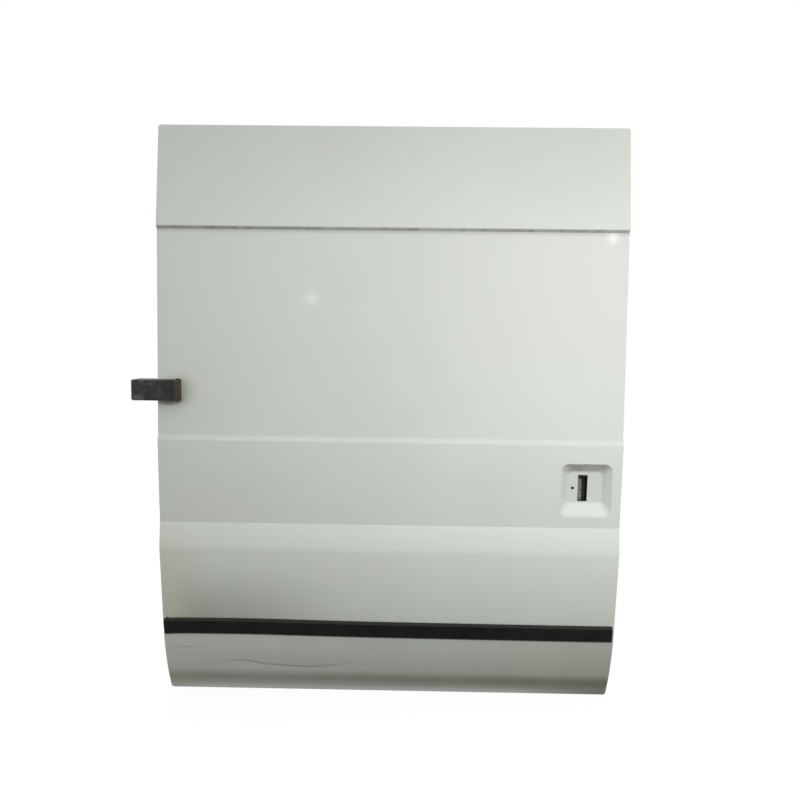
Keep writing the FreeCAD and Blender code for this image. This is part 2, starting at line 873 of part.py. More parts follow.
def make_lower_arm():
    """Bent plate: a flange on the inner panel, a level arm and an upturned cheek for the wheel."""
    lines = [
        (face_back, lower_arm_underside + lower_arm_flange, 0.0),
        (face_back, lower_arm_underside, arm_bend_radius),
        (lower_arm_end, lower_arm_underside, arm_bend_radius),
        (lower_arm_end, lower_arm_underside + lower_arm_cheek, 0.0),
    ]
    left = lower_arm_x - lower_arm_width / 2
    right = lower_arm_x + lower_arm_width / 2
    pieces = [sheet(lines, 0.0, -arm_plate, left, right)]
    for x in (left, right - gusset_thickness):
        bend_y = face_back + arm_plate - arm_plate / 4
        bend_z = lower_arm_top - arm_plate / 4
        pieces.append(gusset(x, bend_y, bend_z, gusset_leg, gusset_leg))
    cheek = Vector(lower_arm_x, lower_arm_end - arm_plate / 2, lower_axle_z)
    pieces.append(stud(cheek, INWARDS, arm_plate / 2 + lower_load_width + 2 * seat_clearance))
    for x in lower_guide_xs():
        foot = Vector(x, lower_guide_y, lower_arm_top - arm_plate / 2)
        pieces.append(stud(foot, UP, arm_plate / 2 + lower_guide_width + 2 * seat_clearance))
    return fused(pieces)


def make_lower_load_roller():
    start = Vector(lower_arm_x, lower_arm_end + seat_clearance, lower_axle_z)
    return roller(start, INWARDS, lower_load_width, lower_load_radius, stud_radius)


def make_lower_guide_rollers():
    rollers = []
    for x in lower_guide_xs():
        start = Vector(x, lower_guide_y, lower_arm_top + seat_clearance)
        rollers.append(roller(start, UP, lower_guide_width, lower_guide_radius, stud_radius))
    return Part.makeCompound(rollers)


def make_upper_arm():
    """Bent strap on the inner panel with a stud for the roller at its end."""
    lines = [
        (face_back, upper_arm_top - upper_arm_flange, 0.0),
        (face_back, upper_arm_top, arm_bend_radius),
        (face_back + upper_arm_length, upper_arm_top, 0.0),
    ]
    left = upper_arm_x - upper_arm_width / 2
    strap = sheet(lines, 0.0, arm_plate, left, left + upper_arm_width)
    web = gusset(
        upper_arm_x - gusset_thickness / 2,
        face_back + arm_plate - arm_plate / 4,
        upper_arm_top - arm_plate + arm_plate / 4,
        upper_gusset_leg,
        -upper_gusset_leg,
    )
    foot = Vector(upper_arm_x, upper_roller_y, upper_arm_top - arm_plate / 2)
    pin = stud(foot, UP, arm_plate / 2 + upper_roller_width + 2 * seat_clearance)
    return fused([strap, web, pin])


def make_upper_roller():
    start = Vector(upper_arm_x, upper_roller_y, upper_arm_top + seat_clearance)
    return roller(start, UP, upper_roller_width, upper_roller_radius, stud_radius)


# Latches in the front and rear edges, their rod and the release lever


def latch_sides():
    """The two latches: their name, the outer face of the tray's wall and the direction out of it."""
    return [("front", door_width - flange_width, 1.0), ("rear", flange_width, -1.0)]


def make_latch_case(wall, out):
    """Box behind the edge of the tray, cut off along its bend, with a slot for the claw."""
    near = wall - out * panel_thickness
    far = near - out * latch_case_width
    corners = [
        Vector(near, latch_front_depth, case_low),
        Vector(near, case_back - tray_bend_radius, case_low),
        Vector(near - out * tray_bend_radius, case_back, case_low),
        Vector(far, case_back, case_low),
        Vector(far, latch_front_depth, case_low),
    ]
    case = Part.Face(Part.makePolygon(corners + corners[:1])).extrude(UP * latch_case_height)
    x0, x1 = sorted((near + out * overcut, near - out * (claw_thickness + 2 * claw_clearance)))
    reach = claw_radius + 2 * claw_clearance
    low = latch_height - reach
    high = latch_height + reach
    return case.cut(box(x0, x1, claw_y - reach, case_back + overcut, low, high))


def make_latch_plate(wall, out):
    """Steel face plate on the edge of the door, with a mouth for the striker."""
    x0, x1 = sorted((wall, wall + out * latch_plate_thickness))
    body = box(
        x0,
        x1,
        latch_front_depth + latch_plate_front_margin,
        face_back - latch_plate_back_margin,
        case_low + latch_plate_margin,
        case_high - latch_plate_margin,
    )
    body = body.makeFillet(latch_plate_corner, edges_along_x(body))
    return body.cut(latch_mouth_cut(wall, out, overcut, latch_mouth / 2))


def make_latch_claw(wall, out):
    """Fork that turns round the striker, drawn open, close behind the wall of the tray."""
    near = wall - out * (panel_thickness + claw_wall_gap)
    x0, x1 = sorted((near, near - out * claw_thickness))
    disc = rod(Vector(x0, claw_y, latch_height), ALONG, claw_thickness, claw_radius)
    half = latch_mouth / 2
    throat = box(
        x0 - overcut,
        x1 + overcut,
        claw_y - claw_throat,
        face_back,
        latch_height - half,
        latch_height + half,
    )
    return disc.cut(throat)


def make_latch_rod():
    """Link from the front latch to the rear one."""
    start = tray_inner + latch_case_width
    return rod(Vector(start, rod_depth, rod_height), ALONG, door_width - 2 * start, rod_radius)


def make_rod_guides():
    """Plastic clips that hold the rod on the back of the inner panel."""
    half = rod_guide_size / 2
    low = rod_height - half
    bore = rod_radius + seat_clearance
    guides = []
    for edge in (opening_margin - 2 * rod_guide_gap, mullion_left, lower_opening_right):
        x = edge + rod_guide_gap
        block = box(x - half, x + half, rod_depth - half, face_front, low, low + rod_guide_size)
        guides.append(block.cut(rod(Vector(x - half, rod_depth, rod_height), ALONG, rod_guide_size, bore)))
    return Part.makeCompound(guides)


def make_release_lever():
    """Bent lever on the front latch; it shows through the left half of the handle slot."""
    left = cup_centre_x + slot_offset - slot_width / 2 - lever_margin
    right = tray_right - latch_case_width + lever_lap
    slot_middle = cup_height + slot_raise
    high = slot_middle + slot_height / 2 - lever_drop
    low = slot_middle - slot_height / 2 - lever_below_slot - lever_leg
    front = latch_front_depth - lever_thickness
    leg = plate(left, left + lever_leg, low, high, lever_corner, front, latch_front_depth)
    bar = plate(left, right, low, low + lever_leg, lever_corner, front, latch_front_depth)
    return fused([leg, bar])


# Inside handle


def make_inside_handle_bezel():
    """Plastic dish on the inner face round the inside handle."""
    x0 = bezel_x - bezel_width / 2
    z0 = latch_height - bezel_height / 2
    x1 = x0 + bezel_width
    z1 = z0 + bezel_height
    front = face_back + bezel_thickness
    body = plate(x0, x1, z0, z1, bezel_radius, face_back, front)
    body = body.makeChamfer(bezel_chamfer, edges_at_depth(body, front))
    m = dish_margin
    dish = plate(x0 + m, x1 - m, z0 + m, z1 - m, dish_radius, face_back + dish_floor, front + overcut)
    return body.cut(dish)


def make_inside_handle_lever():
    """Pull lever that stands out of the dish on a post."""
    x0 = bezel_x - grip_length / 2
    half = grip_height / 2
    low = latch_height - half
    high = latch_height + half
    grip = plate(x0, x0 + grip_length, low, high, grip_corner, grip_y, grip_y + grip_thickness)
    foot = Vector(x0 + grip_post_inset, face_back + dish_floor, latch_height)
    post = rod(foot, INWARDS, grip_y + grip_thickness / 2 - foot.y, grip_post_radius)
    return fused([grip, post])


# Dowels, buffers and plugs


def make_front_dowels():
    """Cone-ended steel dowels on the front edge that find their sockets as the door shuts."""
    dowels = []
    for z in (lower_dowel_height, door_height - upper_dowel_from_top):
        start = Vector(door_width - flange_width, face_back - dowel_from_face, z)
        foot = rod(start, ALONG, dowel_flange_thickness, dowel_flange_radius)
        shank = rod(start, ALONG, dowel_shank, dowel_radius)
        nose_start = start + ALONG * dowel_shank
        nose = Part.makeCone(dowel_radius, dowel_tip_radius, dowel_nose, nose_start, ALONG)
        dowels.append(fused([foot, shank, nose]))
    return Part.makeCompound(dowels)


def make_rear_buffers():
    """Rubber stops on the inner face near the rear edge."""
    buffers = []
    for z in (lower_opening_low + buffer_gap, upper_opening_low + buffer_gap):
        start = Vector(side_middle, face_back, z)
        buffers.append(Part.makeCone(buffer_radius, buffer_tip_radius, buffer_height, start, INWARDS))
    return Part.makeCompound(buffers)


def make_hole_plugs():
    """Rubber plugs in the jig holes of the inner panel."""
    plugs = []
    for x, z in jig_holes():
        cap = rod(Vector(x, face_back, z), INWARDS, plug_cap, jig_hole_radius + plug_flange)
        neck_start = Vector(x, face_front - plug_neck, z)
        neck = rod(neck_start, INWARDS, face_back - neck_start.y + plug_cap, jig_hole_radius - seat_clearance)
        plugs.append(fused([cap, neck]))
    return Part.makeCompound(plugs)


pieces = {
    "outer_skin": make_outer_skin(),
    "inner_panel": make_inner_panel(),
    "upper_stiffener_bar": make_stiffener_bar(upper_bar_height),
    "lower_stiffener_bar": make_stiffener_bar(lower_bar_height),
    "sound_pads": make_sound_pads(),
    "rub_strip": make_rub_strip(),
    "handle_backing_plate": make_handle_backing_plate(),
    "release_lever": make_release_lever(),
    "latch_rod": make_latch_rod(),
    "rod_guides": make_rod_guides(),
    "inside_handle_bezel": make_inside_handle_bezel(),
    "inside_handle_lever": make_inside_handle_lever(),
    "middle_hinge_base": make_middle_hinge_base(),
    "middle_hinge_pin": make_middle_hinge_pin(),
    "middle_arm": make_middle_arm(),
    "middle_load_roller": make_middle_load_roller(),
    "middle_guide_rollers": make_middle_guide_rollers(),
    "lower_arm": make_lower_arm(),
    "lower_load_roller": make_lower_load_roller(),
    "lower_guide_rollers": make_lower_guide_rollers(),
    "upper_arm": make_upper_arm(),
    "upper_roller": make_upper_roller(),
    "front_dowels": make_front_dowels(),
    "rear_buffers": make_rear_buffers(),
    "hole_plugs": make_hole_plugs(),
}
for side, wall, out in latch_sides():
    pieces[side + "_latch_case"] = make_latch_case(wall, out)
    pieces[side + "_latch_plate"] = make_latch_plate(wall, out)
    pieces[side + "_latch_claw"] = make_latch_claw(wall, out)

# The origin goes to the middle of the lower arm's flat underside
os.makedirs("parts", exist_ok=True)
origin = Vector(lower_arm_x, face_back + lower_arm_length / 2, lower_arm_underside)
for name, shape in pieces.items():
    shape.translate(origin * -1)
    shape.exportStep("parts/" + name + ".step")
    print(name, len(shape.Solids), "solids", round(shape.Volume / 1000, 2), "cm3", shape.isValid())
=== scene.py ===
import math

import bmesh
import bpy
from mathutils import Matrix, Vector, noise


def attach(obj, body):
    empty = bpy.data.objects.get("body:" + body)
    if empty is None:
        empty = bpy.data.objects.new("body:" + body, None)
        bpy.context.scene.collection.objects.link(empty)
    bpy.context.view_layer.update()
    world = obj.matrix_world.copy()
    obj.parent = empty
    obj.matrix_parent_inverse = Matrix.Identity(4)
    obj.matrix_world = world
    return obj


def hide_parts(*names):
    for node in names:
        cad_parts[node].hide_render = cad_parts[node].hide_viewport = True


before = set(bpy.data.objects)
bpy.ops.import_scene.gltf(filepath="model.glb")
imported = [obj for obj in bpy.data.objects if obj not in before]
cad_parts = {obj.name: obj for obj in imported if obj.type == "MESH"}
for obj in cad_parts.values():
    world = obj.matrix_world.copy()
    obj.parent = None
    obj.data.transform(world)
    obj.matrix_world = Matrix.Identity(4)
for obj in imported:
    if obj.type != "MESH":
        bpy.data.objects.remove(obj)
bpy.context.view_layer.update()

# Camera, in front of the outside of the door and a little above its middle.
# It looks down by five degrees and leans by less than one, as the photograph does.
# Places are in the door's millimetres: x from the rear edge, y inwards, z up from the bottom edge.
DOOR_ORIGIN = Vector((1150.0, 202.0, 62.0))
FROM_DOOR = Matrix.Scale(0.001, 4) @ Matrix.Translation(-DOOR_ORIGIN)
camera_place = Vector((704.9, -2008.8, 1058.8))
focal_length = 32.75
film_width = 36.0
yaw = math.radians(0.778)
pitch = math.radians(90.0 - 4.967)
lean = math.radians(0.717)

camera_data = bpy.data.cameras.new("camera")
camera_data.sensor_fit = "HORIZONTAL"
camera_data.sensor_width = film_width
camera_data.lens = focal_length
camera_data.clip_end = 60.0
camera = bpy.data.objects.new("camera", camera_data)
turn = Matrix.Rotation(yaw, 4, "Z") @ Matrix.Rotation(pitch, 4, "X") @ Matrix.Rotation(lean, 4, "Z")
camera.matrix_world = Matrix.Translation(FROM_DOOR @ camera_place) @ turn
bpy.context.scene.collection.objects.link(camera)
bpy.context.scene.camera = camera


# Outer skin: one pressing of 1 mm steel sheet, with a step under the upper band, a waist ledge, a crease
# and a lower part that rolls inwards. A cup for the handle is pressed into the waist band, and the rim is
# folded back into a hem round the inner panel.
door_width = 1300.0
door_height = 1635.0
outline_radius = 8.0
outline_steps = 4
sheet_thickness = 1.0
hem_depth = 3.5
hem_width = 12.0
fold_radius = 1.2
fold_steps = 2
roll_radius = 600.0
roll_steps = 14
bend_steps = 6

# Lines of the section, upwards, and the radius of each bend.
bottom_edge = Vector((0.0, 92.0, 0.0))
roll_line = Vector((0.0, 36.0, 110.0))
bulge = Vector((0.0, 0.0, 454.5))
crease = Vector((0.0, 9.5, 528.0))
waist_top = Vector((0.0, 0.0, 764.0))
ledge_top = Vector((0.0, 6.0, 777.0))
step_foot = Vector((0.0, 22.0, 1349.0))
step_top = Vector((0.0, 14.0, 1356.0))
top_edge = Vector((0.0, 49.0, door_height))
bent_lines = [bulge, crease, waist_top, ledge_top, step_foot, step_top]
bend_radii = [40.0, 5.0, 6.0, 5.0, 3.0, 5.0]


def made(result, kind):
    """New vertices, edges or faces in what a mesh operator gives back."""
    return [item for item in result["geom"] if isinstance(item, kind)]


def cut(mesh, point, normal, faces):
    """Cuts some faces of a mesh along a plane."""
    edges = {edge for face in faces for edge in face.edges}
    corners = {corner for face in faces for corner in face.verts}
    bmesh.ops.bisect_plane(
        mesh, geom=[*corners, *edges, *faces], plane_co=point, plane_no=normal, dist=1e-4
    )


def rounded(mesh, geometry, width, segments, affect="EDGES"):
    """Rounds edges of a mesh, or corners of a flat outline."""
    bmesh.ops.bevel(
        mesh,
        geom=geometry,
        offset=width,
        offset_type="OFFSET",
        segments=segments,
        profile=0.5,
        affect=affect,
        clamp_overlap=True,
        material=-1,
    )


# The section is drawn upwards at the rear edge, with the roll turned about an axis inside the door.
skin = bmesh.new()
below = (roll_line - bottom_edge).normalized()
above = (bulge - roll_line).normalized()
bend = below.angle(above)
roll_start = skin.verts.new(roll_line - below * (roll_radius * math.tan(bend / 2)))
skin.edges.new((skin.verts.new(bottom_edge), roll_start))
roll_centre = roll_start.co + Vector((0, below.z, -below.y)) * roll_radius
rolled = bmesh.ops.spin(
    skin, geom=[roll_start], cent=roll_centre, axis=(-1, 0, 0), angle=bend, steps=roll_steps
)
section = [item for item in rolled["geom_last"] if isinstance(item, bmesh.types.BMVert)]
for line in [*bent_lines, top_edge]:
    section.append(skin.verts.new(line))
    skin.edges.new(section[-2:])
reaches = []
for i, radius in enumerate(bend_radii, 1):
    bend = (section[i].co - section[i - 1].co).angle(section[i + 1].co - section[i].co)
    reaches.append(radius * math.tan(bend / 2))
for corner, reach in zip(section[1:-1], reaches):
    rounded(skin, [corner], reach, bend_steps, "VERTICES")
pulled = bmesh.ops.extrude_edge_only(skin, edges=skin.edges[:])
bmesh.ops.translate(skin, vec=(door_width, 0, 0), verts=made(pulled, bmesh.types.BMVert))
bmesh.ops.recalc_face_normals(skin, faces=skin.faces[:])
if sum(face.normal.y * face.calc_area() for face in skin.faces) > 0:
    bmesh.ops.reverse_faces(skin, faces=skin.faces[:])

# The cup is cut out of the waist band as a rounded field, pushed in, drawn narrower and rounded.
# The handle's slot and screw hole go through its floor, the slot down to the floor's lower bend.
cup_x = 1201.5
cup_z = 635.5
cup_rim = (143.0, 152.0)
cup_rim_radius = 21.0
cup_rim_bend = 4.5
cup_floor = (97.0, 91.0)
cup_floor_bend = 4.0
cup_bend_steps = 5
cup_raise = 5.0
cup_depth = 25.0
hole_raise = 1.8
slot_across = -5.0
slot_size = (27.0, 76.0)
slot_radius = 3.0
screw_hole_across = -33.0
screw_hole_size = (9.0, 9.0)
screw_hole_radius = 4.45
sliver = 0.1
flat_within = 0.05
flat_level = 0.9999
waist_slope = (crease.y - waist_top.y) / (waist_top.z - crease.z)
waist_lean = Matrix.Rotation(math.atan(waist_slope), 4, "X")
waist_up = waist_lean @ Vector((0, 0, 1))
waist_in = waist_lean @ Vector((0, 1, 0))
cup_centre = Vector((cup_x, crease.y - waist_slope * (cup_z - crease.z), cup_z))


def cup_point(across, raised, depth):
    """Place in the cup, measured along the waist band and inwards from it."""
    return cup_centre + Vector((across, 0, 0)) + waist_up * raised + waist_in * depth


def flat_faces(mesh, depth):
    """Faces that lie in the plane of the waist band, or at a depth below it."""
    found = []
    for face in mesh.faces:
        drop = (face.calc_center_median() - cup_centre).dot(waist_in)
        if abs(drop - depth) < flat_within and abs(face.normal.dot(waist_in)) > flat_level:
            found.append(face)
    return found


def field(mesh, centre, depth, size, radius):
    """Cuts an upright rounded rectangle out of the flat faces at a depth and gives its face."""
    for side in (-1, 1):
        edge = centre + Vector((side * size[0] / 2, 0, 0))
        cut(mesh, edge, Vector((1, 0, 0)), flat_faces(mesh, depth))
        cut(mesh, centre + waist_up * (side * size[1] / 2), waist_up, flat_faces(mesh, depth))
    found = min(flat_faces(mesh, depth), key=lambda face: (face.calc_center_median() - centre).length)
    rounded(mesh, found.verts[:], radius, bend_steps, "VERTICES")
    return min(flat_faces(mesh, depth), key=lambda face: (face.calc_center_median() - centre).length)


rim_face = field(skin, cup_centre, 0.0, cup_rim, cup_rim_radius)
rim_edges = rim_face.edges[:]
pushed = bmesh.ops.extrude_face_region(skin, geom=[rim_face])
floor_centre = cup_point(0, cup_raise, cup_depth)
floor_verts = made(pushed, bmesh.types.BMVert)
bmesh.ops.translate(skin, vec=floor_centre - cup_centre, verts=floor_verts)
bmesh.ops.scale(
    skin,
    vec=(cup_floor[0] / cup_rim[0], 1.0, cup_floor[1] / cup_rim[1]),
    space=waist_lean.inverted() @ Matrix.Translation(-floor_centre),
    verts=floor_verts,
)
floor_edges = made(pushed, bmesh.types.BMFace)[0].edges[:]
bmesh.ops.delete(skin, geom=[rim_face], context="FACES_ONLY")
rounded(skin, rim_edges, cup_rim_bend, cup_bend_steps)
rounded(skin, floor_edges, cup_floor_bend, cup_bend_steps)
for across, size, radius in (
    (slot_across, slot_size, slot_radius),
    (screw_hole_across, screw_hole_size, screw_hole_radius),
):
    hole = field(skin, cup_point(across, hole_raise, cup_depth), cup_depth, size, radius)
    bmesh.ops.delete(skin, geom=[hole], context="FACES")
bmesh.ops.dissolve_degenerate(skin, dist=sliver, edges=skin.edges[:])

# Columns and rows let each band be crowned and a little wavy, and carry the scrape and the scratch in the
# lower part. A run of them is a start, a step and a count. The depth in the cup is kept for painted shade.
column_runs = [(20.0, 20.0, 64), (130.0, 10.0, 46)]
row_runs = [(25.0, 25.0, 18), (800.0, 25.0, 33), (462.0, 8.0, 8), (540.0, 20.0, 12)]
row_runs += [(84.0, 3.0, 14), (146.0, 3.0, 5)]
crowns = [(bulge, crease, 1.1), (crease, waist_top, 1.5), (ledge_top, step_foot, 2.0)]
crown_fade = 25.0
scrape = [(145, 99), (195, 104), (242, 104), (293, 94), (366, 88), (429, 87), (493, 94), (571, 112)]
scrape_depth = 1.1
scrape_width = 3.5
scrape_scuff = 2.6
dent_depth = 2.0
dent_width = 28.0
scratch = [(20, 147), (60, 150), (103, 150)]
scratch_depth = 0.5
scratch_width = 3.0
scratch_scuff = 2.4
scratch_wear = 0.6
damage_top = 200.0
end_fade = 0.6
wave_height = 0.5
wave_length = 260.0
wave_fade = 150.0
flat_rim = 15.0
flat_bands = (500.0, 790.0)
cup_clear = (80.0, 82.0)
cup_reach = (72.0, 80.0)


def outside_cup(mesh):
    """Faces of the skin apart from those of the cup and its rim."""
    found = []
    for face in mesh.faces:
        centre = face.calc_center_median()
        if abs(centre.x - cup_x) > cup_clear[0] or abs(centre.z - cup_z) > cup_clear[1]:
            found.append(face)
    return found


def nearness(line, x, z):
    """Distance from a point of the sheet to a line drawn on it, and a fade towards the line's ends."""
    best = (door_width, 0.0)
    for i, (a, b) in enumerate(zip(line, line[1:])):
        run = Vector(b) - Vector(a)
        along = max(0.0, min(1.0, (Vector((x, z)) - Vector(a)).dot(run) / run.length_squared))
        away = (Vector(a) + run * along - Vector((x, z))).length
        best = min(best, (away, (i + along) / (len(line) - 1)))
    return best[0], math.sin(math.pi * best[1]) ** end_fade


def hollow(away, width):
    """Round hollow, or hump, of height 1 across a line."""
    return math.exp(-((away / width) ** 2))


for runs, across in ((column_runs, Vector((1, 0, 0))), (row_runs, Vector((0, 0, 1)))):
    for start, step, count in runs:
        for i in range(count):
            cut(skin, across * (start + step * i), across, outside_cup(skin))
ends = [vert for vert in skin.verts if vert.is_boundary and vert.co.z in (0.0, door_height)]
corners = [vert for vert in ends if vert.co.x in (0.0, door_width)]
rounded(skin, corners, outline_radius, outline_steps, "VERTICES")
skin.verts.layers.float.new("scuff")
skin.verts.layers.float.new("cup_shade_depth")
scuff = skin.verts.layers.float["scuff"]
cup_shade_depth = skin.verts.layers.float["cup_shade_depth"]
for vert in skin.verts:
    x = vert.co.x
    z = vert.co.z
    # Depth in the cup, kept for the painted shade there.
    if abs(x - cup_x) < cup_reach[0] and abs(z - cup_z) < cup_reach[1]:
        vert[cup_shade_depth] = max(0.0, min(1.0, (vert.co - cup_centre).dot(waist_in) / cup_depth))
    for low_line, high_line, crown in crowns:
        if low_line.z < z < high_line.z:
            share = (z - low_line.z) / (high_line.z - low_line.z)
            fade = min(1.0, x / crown_fade, (door_width - x) / crown_fade)
            vert.co.y -= crown * 4.0 * share * (1.0 - share) * fade
    if z < damage_top:
        away, fade = nearness(scrape, x, z)
        dent = dent_depth * hollow(away, dent_width)
        vert.co.y += fade * (scrape_depth * hollow(away, scrape_width) + dent)
        vert[scuff] = fade * hollow(away, scrape_scuff)
        away, fade = nearness(scratch, x, z)
        vert.co.y += fade * scratch_depth * hollow(away, scratch_width)
        vert[scuff] += fade * scratch_wear * hollow(away, scratch_scuff)
    inset = min(x, door_width - x, z, door_height - z)
    if inset > flat_rim and not flat_bands[0] < z < flat_bands[1]:
        wave = wave_height * noise.noise(Vector((x, 0, z)) / wave_length)
        vert.co.y += min(1.0, inset / wave_fade) * wave

# The rim is folded back round the inner panel's flange, with a small round at the fold.
top_slope = (top_edge.y - step_top.y) / (top_edge.z - step_top.z)
bottom_slope = (roll_line.y - bottom_edge.y) / (roll_line.z - bottom_edge.z)


def drawn_in(place, inset):
    """A place on the outline moved in by an inset, along the skin."""
    x = min(max(place.x, inset), door_width - inset)
    z = min(max(place.z, inset), door_height - inset)
    slope = top_slope if place.z > door_height / 2 else bottom_slope
    return Vector((x, place.y + slope * (z - place.z), z))


outline = []
for edge in skin.edges:
    if edge.is_boundary and drawn_in(edge.verts[0].co, outline_radius) != edge.verts[0].co:
        outline.append(edge)
folded = bmesh.ops.extrude_edge_only(skin, edges=outline)
bmesh.ops.translate(skin, vec=(0, hem_depth, 0), verts=made(folded, bmesh.types.BMVert))
back_loop = [edge for edge in made(folded, bmesh.types.BMEdge) if edge.is_boundary]
returned = bmesh.ops.extrude_edge_only(skin, edges=back_loop)
for vert in made(returned, bmesh.types.BMVert):
    vert.co = drawn_in(vert.co, hem_width)
bmesh.ops.remove_doubles(skin, verts=made(returned, bmesh.types.BMVert), dist=0.05)
bmesh.ops.recalc_face_normals(skin, faces=skin.faces[:])
if sum(face.normal.y * face.calc_area() for face in outside_cup(skin)) > 0:
    bmesh.ops.reverse_faces(skin, faces=skin.faces[:])
rim_places = [(edge.verts[0].co.copy(), edge.verts[1].co.copy()) for edge in back_loop]
rounded(skin, outline + back_loop, fold_radius, fold_steps)
for face in skin.faces:
    face.smooth = True
bmesh.ops.transform(skin, matrix=FROM_DOOR, verts=skin.verts)


def linear(code):
    """Linear colour of an sRGB hex value."""
    values = [int(code[i : i + 2], 16) / 255 for i in (1, 3, 5)]
    return [v / 12.92 if v <= 0.04045 else ((v + 0.055) / 1.055) ** 2.4 for v in values] + [1.0]


def node(tree, kind, links=None, **settings):
    """Adds a node with its settings; links gives a value or another node's output for each input."""
    added = tree.nodes.new(kind)
    for name, value in settings.items():
        setattr(added, name, value)
    for name, value in (links or {}).items():
        if isinstance(value, bpy.types.NodeSocket):
            tree.links.new(value, added.inputs[name])
        else:
            added.inputs[name].default_value = value
    return added


def new_material(name):
    """New material with its node tree and its shader."""
    material = bpy.data.materials.new(name)
    material.use_nodes = True
    return material, material.node_tree, material.node_tree.nodes["Principled BSDF"]


def patch(tree, *ramps):
    """Share of a patch of dirt or wear: the product of ramps, each a level, its two ends and two shares."""
    share = 1.0
    for level, start, end, low, high, kind in ramps:
        ramp = node(
            tree,
            "ShaderNodeMapRange",
            {0: level, 1: start, 2: end, 3: low, 4: high},
            interpolation_type=kind,
        ).outputs[0]
        share = node(tree, "ShaderNodeMath", {0: share, 1: ramp}, operation="MULTIPLY").outputs[0]
    return share


# Aged white enamel, sprayed and baked: a slightly green white with a soft gloss. It has yellowed in patches
# of about 300 mm. A paler, less green sheen is painted high up at the front. Its orange peel is drawn 5 mm
# wide, so that it shows.
paint, tree, shader = new_material("aged_white_enamel")
place = node(tree, "ShaderNodeTexCoord").outputs["Object"]
to_millimetres = (1000.0, 1000.0, 1000.0)
door_place = node(
    tree, "ShaderNodeVectorMath", {0: place, 1: to_millimetres, 2: DOOR_ORIGIN}, operation="MULTIPLY_ADD"
).outputs[0]
axes = node(tree, "ShaderNodeSeparateXYZ", {0: door_place}).outputs
along = axes[0]
up = axes[2]
facing = node(tree, "ShaderNodeNewGeometry").outputs["Normal"]
upward = node(tree, "ShaderNodeSeparateXYZ", {0: facing}).outputs[2]
shade_depth = node(tree, "ShaderNodeAttribute", attribute_name="cup_shade_depth").outputs["Fac"]
scuffed = node(tree, "ShaderNodeAttribute", attribute_name="scuff").outputs["Fac"]
yellowed = node(tree, "ShaderNodeTexNoise", {"Vector": place, "Scale": 1000 / 300, "Detail": 3.0}).outputs[0]
yellow = node(tree, "ShaderNodeMapRange", {0: yellowed, 1: 0.40, 2: 0.75, 3: 0.0, 4: 0.4}).outputs[0]
colour = node(
    tree, "ShaderNodeMix", {0: yellow, 6: linear("#E1E7DF"), 7: linear("#DCDFD3")}, data_type="RGBA"
).outputs[2]

# One band of the door ends and the next begins, sharply, behind the strip and at the crease, ledge and step.
even = "LINEAR"
soft = "SMOOTHSTEP"
below_strip = (up, 222.0, 222.01, 1.0, 0.0, even)
above_strip = (up, 222.0, 222.01, 0.0, 1.0, even)
above_crease = (up, crease.z, crease.z + 0.01, 0.0, 1.0, even)
below_ledge = (up, 762.0, 762.01, 1.0, 0.0, even)
above_ledge = (up, 762.0, 762.01, 0.0, 1.0, even)
below_step = (up, 1350.0, 1350.01, 1.0, 0.0, even)
above_step = (up, 1350.0, 1350.01, 0.0, 1.0, even)

# Road dirt and painted shade: a film below the crease that is partly painted shade, and a band on the roll,
# brown with mud and darkened as painted shade. The lip under the band is lighter towards the rear.
from_band = node(tree, "ShaderNodeMath", {0: up, 1: 46.0}, operation="SUBTRACT").outputs[0]
off_band = node(tree, "ShaderNodeMath", {0: from_band}, operation="ABSOLUTE").outputs[0]
mud_and_shade_band = node(
    tree,
    "ShaderNodeMapRange",
    {0: off_band, 1: 36.0, 2: 0.0, 3: 0.0, 4: 0.31},
    interpolation_type=soft,
).outputs[0]
lip_film_and_shade = node(tree, "ShaderNodeMapRange", {0: along, 1: 1050.0, 2: 1270.0, 3: 0.25, 4: 1.1}).outputs[0]
film_and_shade = patch(tree, (up, crease.z, 62.0, 0.0, 0.50, even), (up, 4.0, 22.0, lip_film_and_shade, 1.0, even))
# Dust and painted shade: darker just above the strip, towards the rear.
dust_and_shade_over_strip = patch(
    tree,
    (up, 432.0, 252.0, 0.0, 0.28, soft),
    above_strip,
    (along, 600.0, 170.0, 0.0, 1.0, soft),
    (along, 0.0, 80.0, 0.2, 1.0, even),
)
# Painted shade: darker below the strip towards the front, a little lighter at the rear.
shade_to_front = patch(tree, below_strip, (along, 0.0, door_width, -0.10, 0.19, even))
# Painted shade: darker under the step, on the waist towards the crease, lower down on the main panel and
# higher up on the top band.
shade_under_step = patch(tree, (up, 1336.0, step_foot.z, 0.0, 0.30, soft), below_step)
shade_on_waist = patch(
    tree,
    (up, waist_top.z, crease.z, 0.06, 0.13, even),
    above_crease,
    below_ledge,
    (shade_depth, 0.0, 0.3, 1.0, 0.0, even),
)
shade_on_main = patch(tree, (up, 1350.0, ledge_top.z, 0.0, 0.06, even), above_ledge)
shade_on_top = patch(tree, (up, 1357.0, door_height, 0.02, 0.12, even), above_step)
